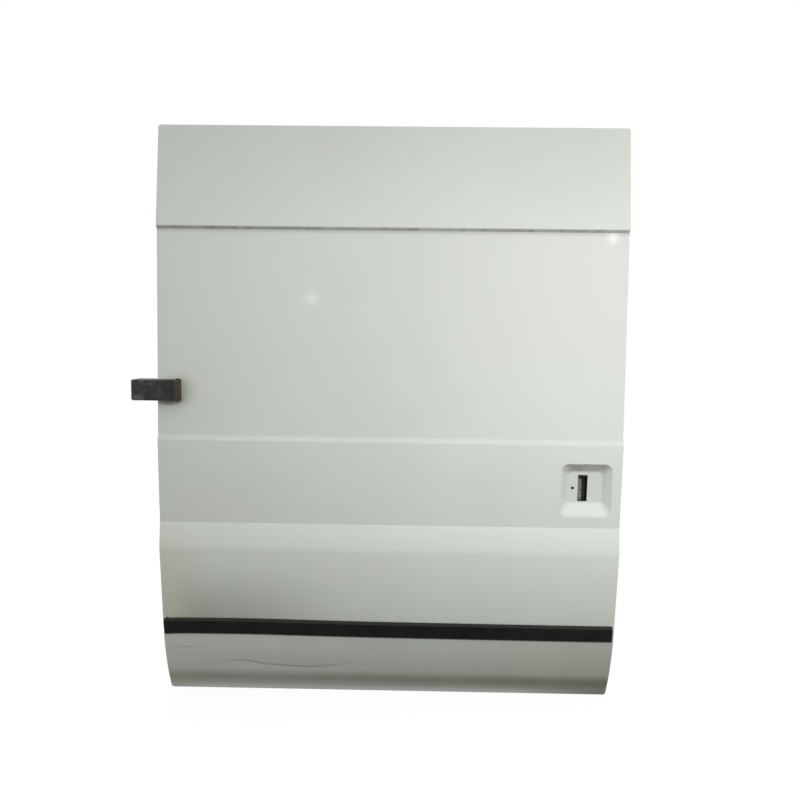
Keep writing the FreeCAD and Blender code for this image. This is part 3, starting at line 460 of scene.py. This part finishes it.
# Dirt and painted shade are summed, then made a little uneven.
dirt_and_shade = film_and_shade
for share in (mud_and_shade_band, dust_and_shade_over_strip, shade_to_front, shade_under_step, shade_on_waist, shade_on_main, shade_on_top):
    dirt_and_shade = node(tree, "ShaderNodeMath", {0: dirt_and_shade, 1: share}, operation="ADD").outputs[0]
smear = node(tree, "ShaderNodeMapping", {0: place, 3: (1000 / 120, 1000 / 120, 1000 / 300)}).outputs[0]
streaks = node(tree, "ShaderNodeTexNoise", {"Vector": smear, "Scale": 1.0, "Detail": 4.0}).outputs[0]
uneven = node(tree, "ShaderNodeMapRange", {0: streaks, 1: 0.3, 2: 0.7, 3: 0.95, 4: 1.05}).outputs[0]
dirt_and_shade = node(tree, "ShaderNodeMath", {0: dirt_and_shade, 1: uneven}, operation="MULTIPLY", use_clamp=True).outputs[0]
# The tone of the dirt and the painted shade: grey-green, brown in the band on the roll.
mud_and_shade_tone = node(
    tree, "ShaderNodeMix", {0: mud_and_shade_band, 6: linear("#727763"), 7: linear("#6A5A48")}, data_type="RGBA"
).outputs[2]

# Painted shade darkens the faces that look down above the crease, under the step and on the cup's top wall,
# blotched with grime in dabs of about 28 mm; more painted shade deepens with depth in the cup.
dabs = node(tree, "ShaderNodeTexNoise", {"Vector": place, "Scale": 1000 / 28, "Detail": 3.0}).outputs[0]
shade_facing_down = patch(
    tree,
    (upward, -0.08, -0.70, 0.0, 0.48, even),
    above_crease,
    (shade_depth, 0.0, 1.0, 1.12, 0.70, even),
    (dabs, 0.35, 0.65, 0.72, 1.28, even),
)
# Painted shade deepening with depth in the cup, apart from faces that look up.
shade_in_cup = patch(tree, (shade_depth, 0.0, 1.0, 0.0, 1.0, even), (upward, 0.10, 0.45, 0.18, 0.0, even))
shade_down_and_in_cup = node(tree, "ShaderNodeMath", {0: shade_facing_down, 1: shade_in_cup}, operation="ADD").outputs[0]

# Rust has stained the paint round the arm's hinge, and a shadow is painted on the panel below the arm.
# A few chips of 3 to 4 mm show brown primer.
hinge_place = Vector((60.0, 10.0, 905.0))
from_hinge = node(
    tree, "ShaderNodeVectorMath", {0: door_place, 1: hinge_place}, operation="DISTANCE"
).outputs["Value"]
# Painted shadow on the panel below the arm.
arm_shadow_place = Vector((30.0, 10.0, 874.0))
arm_shadow_size = (1 / 55.0, 0.0, 1 / 20.0)
off_arm_shadow = node(
    tree, "ShaderNodeVectorMath", {0: door_place, 1: arm_shadow_place}, operation="SUBTRACT"
).outputs[0]
off_arm_shadow = node(
    tree, "ShaderNodeVectorMath", {0: off_arm_shadow, 1: arm_shadow_size}, operation="MULTIPLY"
).outputs[0]
off_arm_shadow = node(tree, "ShaderNodeVectorMath", {0: off_arm_shadow}, operation="LENGTH").outputs["Value"]
cells = node(tree, "ShaderNodeTexVoronoi", {"Vector": place, "Scale": 1000 / 110}).outputs
rare = node(tree, "ShaderNodeSeparateColor", {0: cells["Color"]}).outputs[0]

# The tones are laid over each other in this order: a painted sheen, dirt and painted shade, a yellow-brown
# stain down the rear edge, brown and pale stains at the low corners, painted shade with grime, rust, a
# painted shadow under the arm, chips and scuffs.
low_corner = (up, 72.0, 22.0, 0.0, 1.0, soft)
# Painted sheen: a paler, less green tone high up at the front.
sheen_front_upper = [(along, 650.0, 1150.0, 0.0, 0.85, soft), (up, 862.0, 1062.0, 0.0, 1.0, soft), below_step]
rear_edge = [(along, 170.0, 0.0, 0.0, 1.0, soft), (up, 582.0, 422.0, 0.0, 0.28, soft), above_strip]
for tone, ramps in (
    (linear("#E2E4DF"), sheen_front_upper),
    (mud_and_shade_tone, [(dirt_and_shade, 0.0, 1.0, 0.0, 1.0, even)]),
    (linear("#CBC6A2"), rear_edge),
    (linear("#4E4030"), [low_corner, (along, 1030.0, door_width, 0.0, 0.50, even)]),
    (linear("#A29A70"), [low_corner, (along, 110.0, 20.0, 0.0, 0.4, even)]),
    (linear("#6F6B57"), [(shade_down_and_in_cup, 0.0, 1.0, 0.0, 1.0, even)]),
    (linear("#ABA986"), [(from_hinge, 62.0, 22.0, 0.0, 0.32, soft)]),
    (linear("#4A4A42"), [(off_arm_shadow, 1.0, 0.2, 0.0, 0.85, soft)]),
    (linear("#6E5B48"), [(cells[0], 0.020, 0.012, 0.0, 0.85, even), (rare, 0.72, 0.7201, 0.0, 1.0, even)]),
    (linear("#5E5B50"), [(scuffed, 0.0, 1.0, 0.0, 0.6, even)]),
):
    share = patch(tree, *ramps)
    colour = node(tree, "ShaderNodeMix", {0: share, 6: colour, 7: tone}, data_type="RGBA").outputs[2]
tree.links.new(colour, shader.inputs["Base Color"])
gloss = node(tree, "ShaderNodeMapRange", {0: dirt_and_shade, 1: 0.0, 2: 0.8, 3: 0.36, 4: 0.62}).outputs[0]
tree.links.new(gloss, shader.inputs["Roughness"])
peel = node(tree, "ShaderNodeTexNoise", {"Vector": place, "Scale": 1000 / 5, "Detail": 1.0}).outputs[0]
relief = node(tree, "ShaderNodeBump", {"Strength": 0.06, "Distance": 0.0005, "Height": peel}).outputs[0]
tree.links.new(relief, shader.inputs["Normal"])
shader.inputs["Coat Weight"].default_value = 0.25
shader.inputs["Coat Roughness"].default_value = 0.08


def piece_of(mesh, name, body, material):
    """Makes a mesh a piece of the door that rides on a body."""
    data = bpy.data.meshes.new(name)
    mesh.to_mesh(data)
    mesh.free()
    data.materials.append(material)
    piece = bpy.data.objects.new(name, data)
    bpy.context.scene.collection.objects.link(piece)
    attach(piece, body)
    return piece


skin_piece = piece_of(skin, "outer_skin_sheet", "door", paint)
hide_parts("outer_skin")
thickness = skin_piece.modifiers.new("sheet", "SOLIDIFY")
thickness.thickness = sheet_thickness / 1000
thickness.offset = -1.0
thickness.use_even_offset = True
normals = skin_piece.modifiers.new("normals", "WEIGHTED_NORMAL")
normals.weight = 70
normals.keep_sharp = True


# Inner panel: a tray pressed from 0.9 mm sheet, with three openings, a swage and beads, painted with the
# body. The skin is hemmed over its flange, and two hat-section bars and a doubler behind the handle cup
# are welded in.
flat_angle = math.radians(0.4)
sharp_angle = math.radians(35)
shaded_angle = math.radians(40)


def dressed(name, edge_width, material, body="door", segments=2):
    """Piece made from a solid's own mesh, with its sharp edges rounded by a width in millimetres."""
    mesh = bmesh.new()
    mesh.from_mesh(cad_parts[name].data)
    bmesh.ops.remove_doubles(mesh, verts=mesh.verts[:], dist=1e-6)
    bmesh.ops.dissolve_limit(mesh, angle_limit=flat_angle, verts=mesh.verts[:], edges=mesh.edges[:])
    sharp = [edge for edge in mesh.edges if edge.calc_face_angle(0.0) > sharp_angle]
    if edge_width:
        rounded(mesh, sharp, edge_width / 1000, segments)
    for face in mesh.faces:
        face.smooth = True
    for edge in mesh.edges:
        edge.smooth = edge.calc_face_angle(0.0) < shaded_angle
    piece = piece_of(mesh, name + "_shape", body, material)
    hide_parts(name)
    if edge_width:
        normals = piece.modifiers.new("normals", "WEIGHTED_NORMAL")
        normals.keep_sharp = True


# Body enamel on the inside: thinner and duller than outside, dusty in patches of about 160 mm and on upward
# faces. The faces that look outwards, into the cavity behind the skin, are grey with primer and wax, and
# darker still as painted shade of the cavity. The orange peel is drawn 4 mm wide, so that it shows.
inside_paint, tree, shader = new_material("inside_white_enamel")
place = node(tree, "ShaderNodeTexCoord").outputs["Object"]
patches = node(tree, "ShaderNodeTexNoise", {"Vector": place, "Scale": 1000 / 160, "Detail": 5.0}).outputs[0]
dust = node(tree, "ShaderNodeMapRange", {0: patches, 1: 0.42, 2: 0.72, 3: 0.05, 4: 0.40}).outputs[0]
facing = node(tree, "ShaderNodeNewGeometry").outputs["Normal"]
parts = node(tree, "ShaderNodeSeparateXYZ", {0: facing}).outputs
inward = parts[1]
upward = parts[2]
settled = node(tree, "ShaderNodeMapRange", {0: upward, 1: 0.2, 2: 0.9, 3: 0.0, 4: 0.45}).outputs[0]
dust = node(tree, "ShaderNodeMath", {0: dust, 1: settled}, operation="ADD", use_clamp=True).outputs[0]
colour = node(
    tree, "ShaderNodeMix", {0: dust, 6: linear("#DDE0D8"), 7: linear("#A8A294")}, data_type="RGBA"
).outputs[2]
# Primer, wax and painted shade on the faces that look into the cavity.
wax_and_cavity_shade = node(tree, "ShaderNodeMapRange", {0: inward, 1: -0.4, 2: -0.8, 3: 0.0, 4: 0.9}).outputs[0]
colour = node(
    tree, "ShaderNodeMix", {0: wax_and_cavity_shade, 6: colour, 7: linear("#6E797B")}, data_type="RGBA"
).outputs[2]
tree.links.new(colour, shader.inputs["Base Color"])
gloss = node(tree, "ShaderNodeMapRange", {0: dust, 1: 0.0, 2: 0.7, 3: 0.40, 4: 0.75}).outputs[0]
tree.links.new(gloss, shader.inputs["Roughness"])
peel = node(tree, "ShaderNodeTexNoise", {"Vector": place, "Scale": 1000 / 4, "Detail": 2.0}).outputs[0]
relief = node(tree, "ShaderNodeBump", {"Strength": 0.10, "Distance": 0.0005, "Height": peel}).outputs[0]
tree.links.new(relief, shader.inputs["Normal"])
for name in ("inner_panel", "upper_stiffener_bar", "lower_stiffener_bar", "handle_backing_plate"):
    dressed(name, 0.0, inside_paint)


# Sealer: a bead of soft putty brushed along the cut edge of the hem, which keeps water out of the fold.
# It follows the outline all round, a little unevenly, and is painted over with the body.
bead_start = 9.0
bead_profile = ((10.0, 1.3), (13.5, 1.7), (17.0, 0.3), (18.5, -1.6))
brush_sway = 0.8
brush_stroke = 22.0
bead = bmesh.new()
for a, b in rim_places:
    bead.edges.new((bead.verts.new(drawn_in(a, bead_start)), bead.verts.new(drawn_in(b, bead_start))))
bmesh.ops.remove_doubles(bead, verts=bead.verts[:], dist=1e-4)
first_ring = bead.edges[:]
ring = first_ring
last_rise = 0.0
for inset, rise in bead_profile:
    grown = bmesh.ops.extrude_edge_only(bead, edges=ring)
    ring = [edge for edge in made(grown, bmesh.types.BMEdge) if edge.is_boundary]
    for vert in made(grown, bmesh.types.BMVert):
        vert.co = drawn_in(vert.co, inset + brush_sway * noise.noise(vert.co / brush_stroke))
        vert.co.y += rise - last_rise
    last_rise = rise
bmesh.ops.bridge_loops(bead, edges=first_ring + ring)
bmesh.ops.remove_doubles(bead, verts=bead.verts[:], dist=0.02)
bmesh.ops.dissolve_degenerate(bead, dist=0.02, edges=bead.edges[:])
bmesh.ops.recalc_face_normals(bead, faces=bead.faces[:])
for face in bead.faces:
    face.smooth = True
bmesh.ops.transform(bead, matrix=FROM_DOOR, verts=bead.verts)
piece_of(bead, "hem_sealer", "door", inside_paint)


# Damping pads: sheets of bitumen stuck to the back of the skin to stop it drumming.
# They are black-brown, dull, and slightly wrinkled from being rolled on by hand.


def mottled(name, patch_size, detail, dark, light, smooth, dull):
    """New material of two tones and two glosses, in patches of a size in millimetres."""
    material, tree, shader = new_material(name)
    place = node(tree, "ShaderNodeTexCoord").outputs["Object"]
    patches = node(
        tree, "ShaderNodeTexNoise", {"Vector": place, "Scale": 1000 / patch_size, "Detail": detail}
    ).outputs[0]
    colour = node(
        tree, "ShaderNodeMix", {0: patches, 6: linear(dark), 7: linear(light)}, data_type="RGBA"
    ).outputs[2]
    tree.links.new(colour, shader.inputs["Base Color"])
    gloss = node(tree, "ShaderNodeMapRange", {0: patches, 1: 0.3, 2: 0.7, 3: smooth, 4: dull}).outputs[0]
    tree.links.new(gloss, shader.inputs["Roughness"])
    return material, tree, shader


bitumen, tree, shader = mottled("bitumen_sheet", 30.0, 4.0, "#1F1D1B", "#3A362F", 0.72, 0.72)
place = node(tree, "ShaderNodeTexCoord").outputs["Object"]
wrinkles = node(
    tree, "ShaderNodeTexNoise", {"Vector": place, "Scale": 1000 / 12, "Distortion": 1.5}
).outputs[0]
relief = node(tree, "ShaderNodeBump", {"Strength": 0.5, "Distance": 0.001, "Height": wrinkles}).outputs[0]
tree.links.new(relief, shader.inputs["Normal"])
dressed("sound_pads", 0.8, bitumen)


# Jig-hole plugs and rear buffers: moulded black rubber, matt and a little greyed. The plugs are pushed into
# holes of the inner panel, and the buffers are screwed on near the rear edge, where the door lands on its
# pillar.
rubber, tree, shader = mottled("moulded_rubber", 20.0, 4.0, "#141414", "#33322F", 0.60, 0.85)
dressed("hole_plugs", 0.8, rubber, segments=3)
dressed("rear_buffers", 2.5, rubber, segments=4)


# Rub strip: a black polypropylene moulding with bevelled edges, clipped along the lower part of the skin.
# It bows by a few millimetres near its rear end, where it has come off a clip and is torn.
strip_height = 48.0
strip_thickness = 11.0
strip_bevel = 6.0
strip_middle = 218.0
strip_from = 4.0
strip_to = 1293.0
strip_seat = 0.4
strip_round = 1.0
bow_height = 3.0
bow_place = 230.0
bow_reach = 240.0
droop = 2.5
droop_reach = 60.0
fall = 2.6
fall_start = 250.0
fall_run = 900.0
tear_height = 3.5
tear_place = 13.0
tear_width = 3.5
tear_foot = 10.0
end_slant = 3.0
slant_reach = 30.0
strip_cuts = [8.0, 11.0, 14.0, 18.0, 23.0] + [30.0 * i for i in range(1, 43)]
strip_slope = roll_line.y / (bulge.z - roll_line.z)

# Weathered polypropylene: black and matt with a fine moulded grain, chalky in patches of about 50 mm and
# dusty on upward faces. The grain is drawn 1.5 mm wide, so that it shows.
polypropylene, tree, shader = new_material("weathered_polypropylene")
place = node(tree, "ShaderNodeTexCoord").outputs["Object"]
patches = node(tree, "ShaderNodeTexNoise", {"Vector": place, "Scale": 1000 / 50, "Detail": 5.0}).outputs[0]
chalk = node(tree, "ShaderNodeMapRange", {0: patches, 1: 0.35, 2: 0.75, 3: 0.0, 4: 0.06}).outputs[0]
facing = node(tree, "ShaderNodeNewGeometry").outputs["Normal"]
upward = node(tree, "ShaderNodeSeparateXYZ", {0: facing}).outputs[2]
settled = node(tree, "ShaderNodeMapRange", {0: upward, 1: 0.15, 2: 0.8, 3: 0.0, 4: 0.30}).outputs[0]
chalk = node(tree, "ShaderNodeMath", {0: chalk, 1: settled}, operation="ADD", use_clamp=True).outputs[0]
colour = node(
    tree, "ShaderNodeMix", {0: chalk, 6: linear("#0B0C0C"), 7: linear("#5B5F57")}, data_type="RGBA"
).outputs[2]
tree.links.new(colour, shader.inputs["Base Color"])
grain = node(tree, "ShaderNodeTexNoise", {"Vector": place, "Scale": 1000 / 1.5, "Detail": 2.0}).outputs[0]
relief = node(tree, "ShaderNodeBump", {"Strength": 0.25, "Distance": 0.0004, "Height": grain}).outputs[0]
tree.links.new(relief, shader.inputs["Normal"])
shader.inputs["Roughness"].default_value = 0.5
shader.inputs["Specular IOR Level"].default_value = 0.1

strip = bmesh.new()
half = strip_height / 2
shoulder = strip_thickness - strip_bevel
marks = [(-half, strip_seat), (half, strip_seat), (half, shoulder), (half - strip_bevel, strip_thickness)]
marks += [(strip_bevel - half, strip_thickness), (-half, shoulder)]
strip_verts = []
for raised, out in marks:
    height = strip_middle + raised - out * strip_slope
    depth = roll_line.y - (strip_middle + raised - roll_line.z) * strip_slope - out
    strip_verts.append(strip.verts.new((strip_from, depth, height)))
end_face = strip.faces.new(strip_verts)
pulled = bmesh.ops.extrude_face_region(strip, geom=[end_face])
bmesh.ops.translate(strip, vec=(strip_to - strip_from, 0, 0), verts=made(pulled, bmesh.types.BMVert))
bmesh.ops.recalc_face_normals(strip, faces=strip.faces[:])
rounded(strip, [edge for edge in strip.edges if edge.calc_face_angle(0.0) > sharp_angle], strip_round, 3)
for x in strip_cuts:
    cut(strip, Vector((x, 0, 0)), Vector((1, 0, 0)), strip.faces[:])
for vert in strip.verts:
    x = vert.co.x
    lift = bow_height * hollow(x - bow_place, bow_reach) - droop * max(0.0, 1.0 - x / droop_reach) ** 2
    lift -= fall * max(0.0, min(1.0, (x - fall_start) / fall_run))
    if vert.co.z > strip_middle + tear_foot:
        lift += tear_height * hollow(x - tear_place, tear_width)
    slant = 0.5 - (vert.co.z - strip_middle) / strip_height
    vert.co.x += end_slant * max(0.0, 1.0 - x / slant_reach) * slant
    vert.co.z += lift
    vert.co.y -= lift * strip_slope
for face in strip.faces:
    face.smooth = True
bmesh.ops.transform(strip, matrix=FROM_DOOR, verts=strip.verts)
strip_piece = piece_of(strip, "rub_strip_moulding", "door", polypropylene)
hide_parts("rub_strip")
normals = strip_piece.modifiers.new("normals", "WEIGHTED_NORMAL")
normals.keep_sharp = True


# Middle arm: a channel pressed from 4 mm steel, painted black, that swivels on a pin at the rear edge and
# carries the rollers of the body-side rail. Its paint is worn through and rusty, most of all at the pin.

# Rusted black paint: a dull black that has faded and worn in blotches of about 22 mm, towards the rear above
# all, with brown rust of a 6 mm grain in the worn places.
rusted, tree, shader = new_material("rusted_black_paint")
place = node(tree, "ShaderNodeTexCoord").outputs["Object"]
door_place = node(
    tree, "ShaderNodeVectorMath", {0: place, 1: to_millimetres, 2: DOOR_ORIGIN}, operation="MULTIPLY_ADD"
).outputs[0]
axes = node(tree, "ShaderNodeSeparateXYZ", {0: door_place}).outputs
along = axes[0]
inwards = axes[1]
blotches = node(
    tree, "ShaderNodeTexNoise", {"Vector": place, "Scale": 1000 / 22, "Detail": 6.0, "Roughness": 0.65}
).outputs[0]
worn = node(tree, "ShaderNodeMapRange", {0: blotches, 1: 0.47, 2: 0.70, 3: 0.0, 4: 0.32}).outputs[0]
at_pin = patch(tree, (along, 58.0, 66.0, 0.0, 0.8, even), (inwards, 52.0, 12.0, 0.0, 1.0, even))
worn = node(tree, "ShaderNodeMath", {0: worn, 1: at_pin}, operation="ADD", use_clamp=True).outputs[0]
shades = node(tree, "ShaderNodeTexNoise", {"Vector": place, "Scale": 1000 / 6, "Detail": 5.0}).outputs[0]
rust = node(
    tree, "ShaderNodeMix", {0: shades, 6: linear("#2C2822"), 7: linear("#72664F")}, data_type="RGBA"
).outputs[2]
faded = patch(tree, (blotches, 0.38, 0.60, 1.0, 0.0, even), (along, 60.0, -50.0, 0.12, 1.0, even))
black = node(
    tree, "ShaderNodeMix", {0: faded, 6: linear("#0A0B0F"), 7: linear("#5C5957")}, data_type="RGBA"
).outputs[2]
colour = node(tree, "ShaderNodeMix", {0: worn, 6: black, 7: rust}, data_type="RGBA").outputs[2]
tree.links.new(colour, shader.inputs["Base Color"])
gloss = node(tree, "ShaderNodeMapRange", {0: worn, 1: 0.0, 2: 0.8, 3: 0.45, 4: 0.88}).outputs[0]
tree.links.new(gloss, shader.inputs["Roughness"])
relief = node(tree, "ShaderNodeBump", {"Strength": 0.5, "Distance": 0.0006, "Height": blotches}).outputs[0]
tree.links.new(relief, shader.inputs["Normal"])
shader.inputs["Specular IOR Level"].default_value = 0.3
dressed("middle_arm", 0.9, rusted, "roller_arm", 3)
dressed("middle_hinge_base", 0.8, rusted)
dressed("middle_hinge_pin", 1.0, rusted, segments=3)


# Rollers of all three arms: turned from nylon and pressed on their studs.
# They are off-white, and greasy and dirty in patches of about 10 mm where they run on their rails.
roller_round = 1.6
roller_steps = 4
nylon, tree, shader = new_material("turned_nylon")
place = node(tree, "ShaderNodeTexCoord").outputs["Object"]
patches = node(tree, "ShaderNodeTexNoise", {"Vector": place, "Scale": 1000 / 10, "Detail": 4.0}).outputs[0]
grease = node(tree, "ShaderNodeMapRange", {0: patches, 1: 0.40, 2: 0.70, 3: 0.05, 4: 0.75}).outputs[0]
colour = node(
    tree, "ShaderNodeMix", {0: grease, 6: linear("#D9D4C2"), 7: linear("#5C5142")}, data_type="RGBA"
).outputs[2]
tree.links.new(colour, shader.inputs["Base Color"])
gloss = node(tree, "ShaderNodeMapRange", {0: grease, 1: 0.0, 2: 0.7, 3: 0.48, 4: 0.28}).outputs[0]
tree.links.new(gloss, shader.inputs["Roughness"])
shader.inputs["Subsurface Weight"].default_value = 0.05
for name in ("middle_load_roller", "middle_guide_rollers"):
    dressed(name, roller_round, nylon, "roller_arm", roller_steps)
for name in ("lower_load_roller", "lower_guide_rollers", "upper_roller"):
    dressed(name, roller_round, nylon, segments=roller_steps)


# Lower and upper arms: brackets bent from 6 mm plate, painted black, bolted to the inner panel.
# They carry the door on the rails under the step and over the opening.
for name in ("lower_arm", "upper_arm"):
    dressed(name, 0.9, rusted, segments=3)


# Latches in the two edges, with the rod between them and the lever that the outside handle pushed.
# They are stamped from zinc-plated steel, dull and a little stained.

# Zinc-plated steel: a dull grey metal with a spangle of about 7 mm, stained brown in patches of 30 mm.
zinc, tree, shader = new_material("zinc_plated_steel")
place = node(tree, "ShaderNodeTexCoord").outputs["Object"]
spangle = node(tree, "ShaderNodeTexVoronoi", {"Vector": place, "Scale": 1000 / 7}).outputs["Color"]
grey = node(tree, "ShaderNodeSeparateColor", {0: spangle}).outputs[0]
patches = node(tree, "ShaderNodeTexNoise", {"Vector": place, "Scale": 1000 / 30, "Detail": 5.0}).outputs[0]
tone = node(tree, "ShaderNodeMath", {0: grey, 1: patches}, operation="MULTIPLY").outputs[0]
colour = node(
    tree, "ShaderNodeMix", {0: tone, 6: linear("#6E6F6B"), 7: linear("#A3A198")}, data_type="RGBA"
).outputs[2]
stains = node(tree, "ShaderNodeMapRange", {0: patches, 1: 0.58, 2: 0.75, 3: 0.0, 4: 0.55}).outputs[0]
colour = node(
    tree, "ShaderNodeMix", {0: stains, 6: colour, 7: linear("#6B5A45")}, data_type="RGBA"
).outputs[2]
tree.links.new(colour, shader.inputs["Base Color"])
gloss = node(tree, "ShaderNodeMapRange", {0: patches, 1: 0.3, 2: 0.7, 3: 0.36, 4: 0.60}).outputs[0]
tree.links.new(gloss, shader.inputs["Roughness"])
shader.inputs["Metallic"].default_value = 0.9

# The cases are phosphated, a dark grey that takes oil.
phosphate, tree, shader = mottled("phosphated_steel", 20.0, 5.0, "#191B1D", "#393B3C", 0.42, 0.68)
shader.inputs["Metallic"].default_value = 0.5

for side in ("front", "rear"):
    dressed(side + "_latch_case", 2.0, phosphate, segments=3)
    dressed(side + "_latch_plate", 0.6, zinc)
    dressed(side + "_latch_claw", 0.8, zinc)
dressed("latch_rod", 0.5, zinc)
dressed("release_lever", 0.5, zinc)
dressed("front_dowels", 0.8, zinc, segments=3)


# Rod clips and inside handle: satin black plastic mouldings on the inner panel.
# The handle stands out of a dished bezel on one post.
dressed("rod_guides", 0.8, polypropylene)
dressed("inside_handle_bezel", 1.5, polypropylene, segments=3)
dressed("inside_handle_lever", 3.5, polypropylene, segments=5)


# Bolts and screws: flange bolts hold the arms to the inner panel, and round-headed screws hold the latches
# and the bezel. They are cold-headed steel, zinc-plated.
flange_radius = 9.0
flange_top_radius = 8.0
flange_height = 1.8
hexagon_radius = 7.5
hexagon_height = 5.2
hexagon_round = 0.5
screw_radius = 5.5
screw_top_radius = 4.2
screw_height = 2.6
socket_wall = 1.9
socket_depth = 1.4
arm_face = 118.0
bezel_face = 115.0
front_face = 1281.0
rear_face = 19.0
lower_arm_bolts = ((1134.0, 132.0), (1166.0, 132.0), (1150.0, 96.0))
upper_arm_bolts = ((1136.0, 1512.0), (1164.0, 1512.0))
latch_screws = ((66.0, 583.0), (66.0, 675.0), (90.0, 588.0))
bezel_screws = ((1112.0, 604.0), (1218.0, 654.0))
bolts = bmesh.new()


def stood(place, axis, sides, low_radius, high_radius, height, raised):
    """Adds a round or six-sided block that stands on a face at a place, raised by a height."""
    turned = Vector((0, 0, 1)).rotation_difference(axis).to_matrix().to_4x4()
    block = bmesh.ops.create_cone(
        bolts,
        segments=sides,
        radius1=low_radius,
        radius2=high_radius,
        depth=height,
        cap_ends=True,
        matrix=Matrix.Translation(place) @ turned @ Matrix.Translation((0, 0, raised + height / 2)),
    )
    return block["verts"]


def flange_bolt(place, axis):
    """Hexagon head of 13 mm across its flats on a round flange."""
    stood(place, axis, 28, flange_radius, flange_top_radius, flange_height, 0.0)
    head = stood(place, axis, 6, hexagon_radius, hexagon_radius, hexagon_height, flange_height)
    rims = {edge for vert in head for edge in vert.link_edges}
    rounded(bolts, list(rims), hexagon_round, 2)


def round_screw(place, axis):
    """Low round head with a socket."""
    head = stood(place, axis, 24, screw_radius, screw_top_radius, screw_height, 0.0)
    faces = {face for vert in head for face in vert.link_faces}
    top = max(faces, key=lambda face: face.calc_center_median().dot(axis))
    bmesh.ops.inset_region(bolts, faces=[top], thickness=socket_wall)
    bmesh.ops.translate(bolts, vec=axis * -socket_depth, verts=top.verts[:])


for x, z in lower_arm_bolts + upper_arm_bolts:
    flange_bolt(Vector((x, arm_face, z)), Vector((0, 1, 0)))
for edge_face, out in ((front_face, 1), (rear_face, -1)):
    for y, z in latch_screws:
        round_screw(Vector((edge_face, y, z)), Vector((out, 0, 0)))
for x, z in bezel_screws:
    round_screw(Vector((x, bezel_face, z)), Vector((0, 1, 0)))
bmesh.ops.recalc_face_normals(bolts, faces=bolts.faces[:])
for face in bolts.faces:
    face.smooth = True
for edge in bolts.edges:
    edge.smooth = edge.calc_face_angle(0.0) < sharp_angle
bmesh.ops.transform(bolts, matrix=FROM_DOOR, verts=bolts.verts)
piece_of(bolts, "bolts_and_screws", "door", zinc)


# Floor and light: a pale floor under the door, an even room, a large lamp to the right of the camera, a
# second one behind the door and two small bulbs. The floor and the room look white, but throw only a little
# light back on the door. The bulbs show as glints in the enamel.
floor_half = 15.0
floor_level = -0.064
floor_glow = 0.915
room_level = 0.66
lamps = (
    ("key", (1500.0, -1700.0, 1150.0), (1500.0, 0.0, 1150.0), 1.2, 19.0, False),
    ("back", (300.0, 2700.0, 1700.0), (650.0, 100.0, 800.0), 1.6, 20.0, False),
    ("left bulb", (82.0, -2445.0, 1446.0), (425.0, 0.0, 1171.0), 0.06, 0.2, True),
    ("right bulb", (1932.0, -2445.0, 1885.0), (1256.0, 0.0, 1331.0), 0.06, 0.45, True),
)

ground = bmesh.new()
bmesh.ops.create_grid(ground, x_segments=1, y_segments=1, size=floor_half)
bmesh.ops.translate(ground, vec=(0, 0, floor_level), verts=ground.verts)
ground_data = bpy.data.meshes.new("floor")
ground.to_mesh(ground_data)
ground.free()
floor = bpy.data.objects.new("floor", ground_data)
bpy.context.scene.collection.objects.link(floor)
pale_floor, tree, shader = new_material("pale_floor")
ground_data.materials.append(pale_floor)
shader.inputs["Base Color"].default_value = linear("#636363")
shader.inputs["Roughness"].default_value = 1.0
shader.inputs["Specular IOR Level"].default_value = 0.0
shader.inputs["Emission Color"].default_value = linear("#FFFFFF")
world = bpy.data.worlds.new("room")
world.use_nodes = True
background = world.node_tree.nodes["Background"]
background.inputs["Color"].default_value = linear("#FFFFFF")
bpy.context.scene.world = world
for tree, socket, hidden, shown in (
    (pale_floor.node_tree, shader.inputs["Emission Strength"], 0.0, floor_glow),
    (world.node_tree, background.inputs["Strength"], room_level, 1.0),
):
    rays = node(tree, "ShaderNodeLightPath").outputs
    seen = rays["Is Camera Ray"]
    for kind in ("Is Glossy Ray", "Is Transmission Ray"):
        seen = node(tree, "ShaderNodeMath", {0: seen, 1: rays[kind]}, operation="MAXIMUM").outputs[0]
    level = node(tree, "ShaderNodeMapRange", {0: seen, 3: hidden, 4: shown}).outputs[0]
    tree.links.new(level, socket)

for name, lamp_place, target, size, power, mirrored in lamps:
    lamp_data = bpy.data.lights.new(name, "AREA")
    lamp_data.shape = "DISK"
    lamp_data.size = size
    lamp_data.energy = power
    lamp = bpy.data.objects.new(name, lamp_data)
    start = FROM_DOOR @ Vector(lamp_place)
    aim = FROM_DOOR @ Vector(target) - start
    lamp.matrix_world = Matrix.Translation(start) @ aim.to_track_quat("-Z", "Y").to_matrix().to_4x4()
    lamp.visible_glossy = mirrored
    bpy.context.scene.collection.objects.link(lamp)

bpy.context.scene.view_settings.view_transform = "Standard"
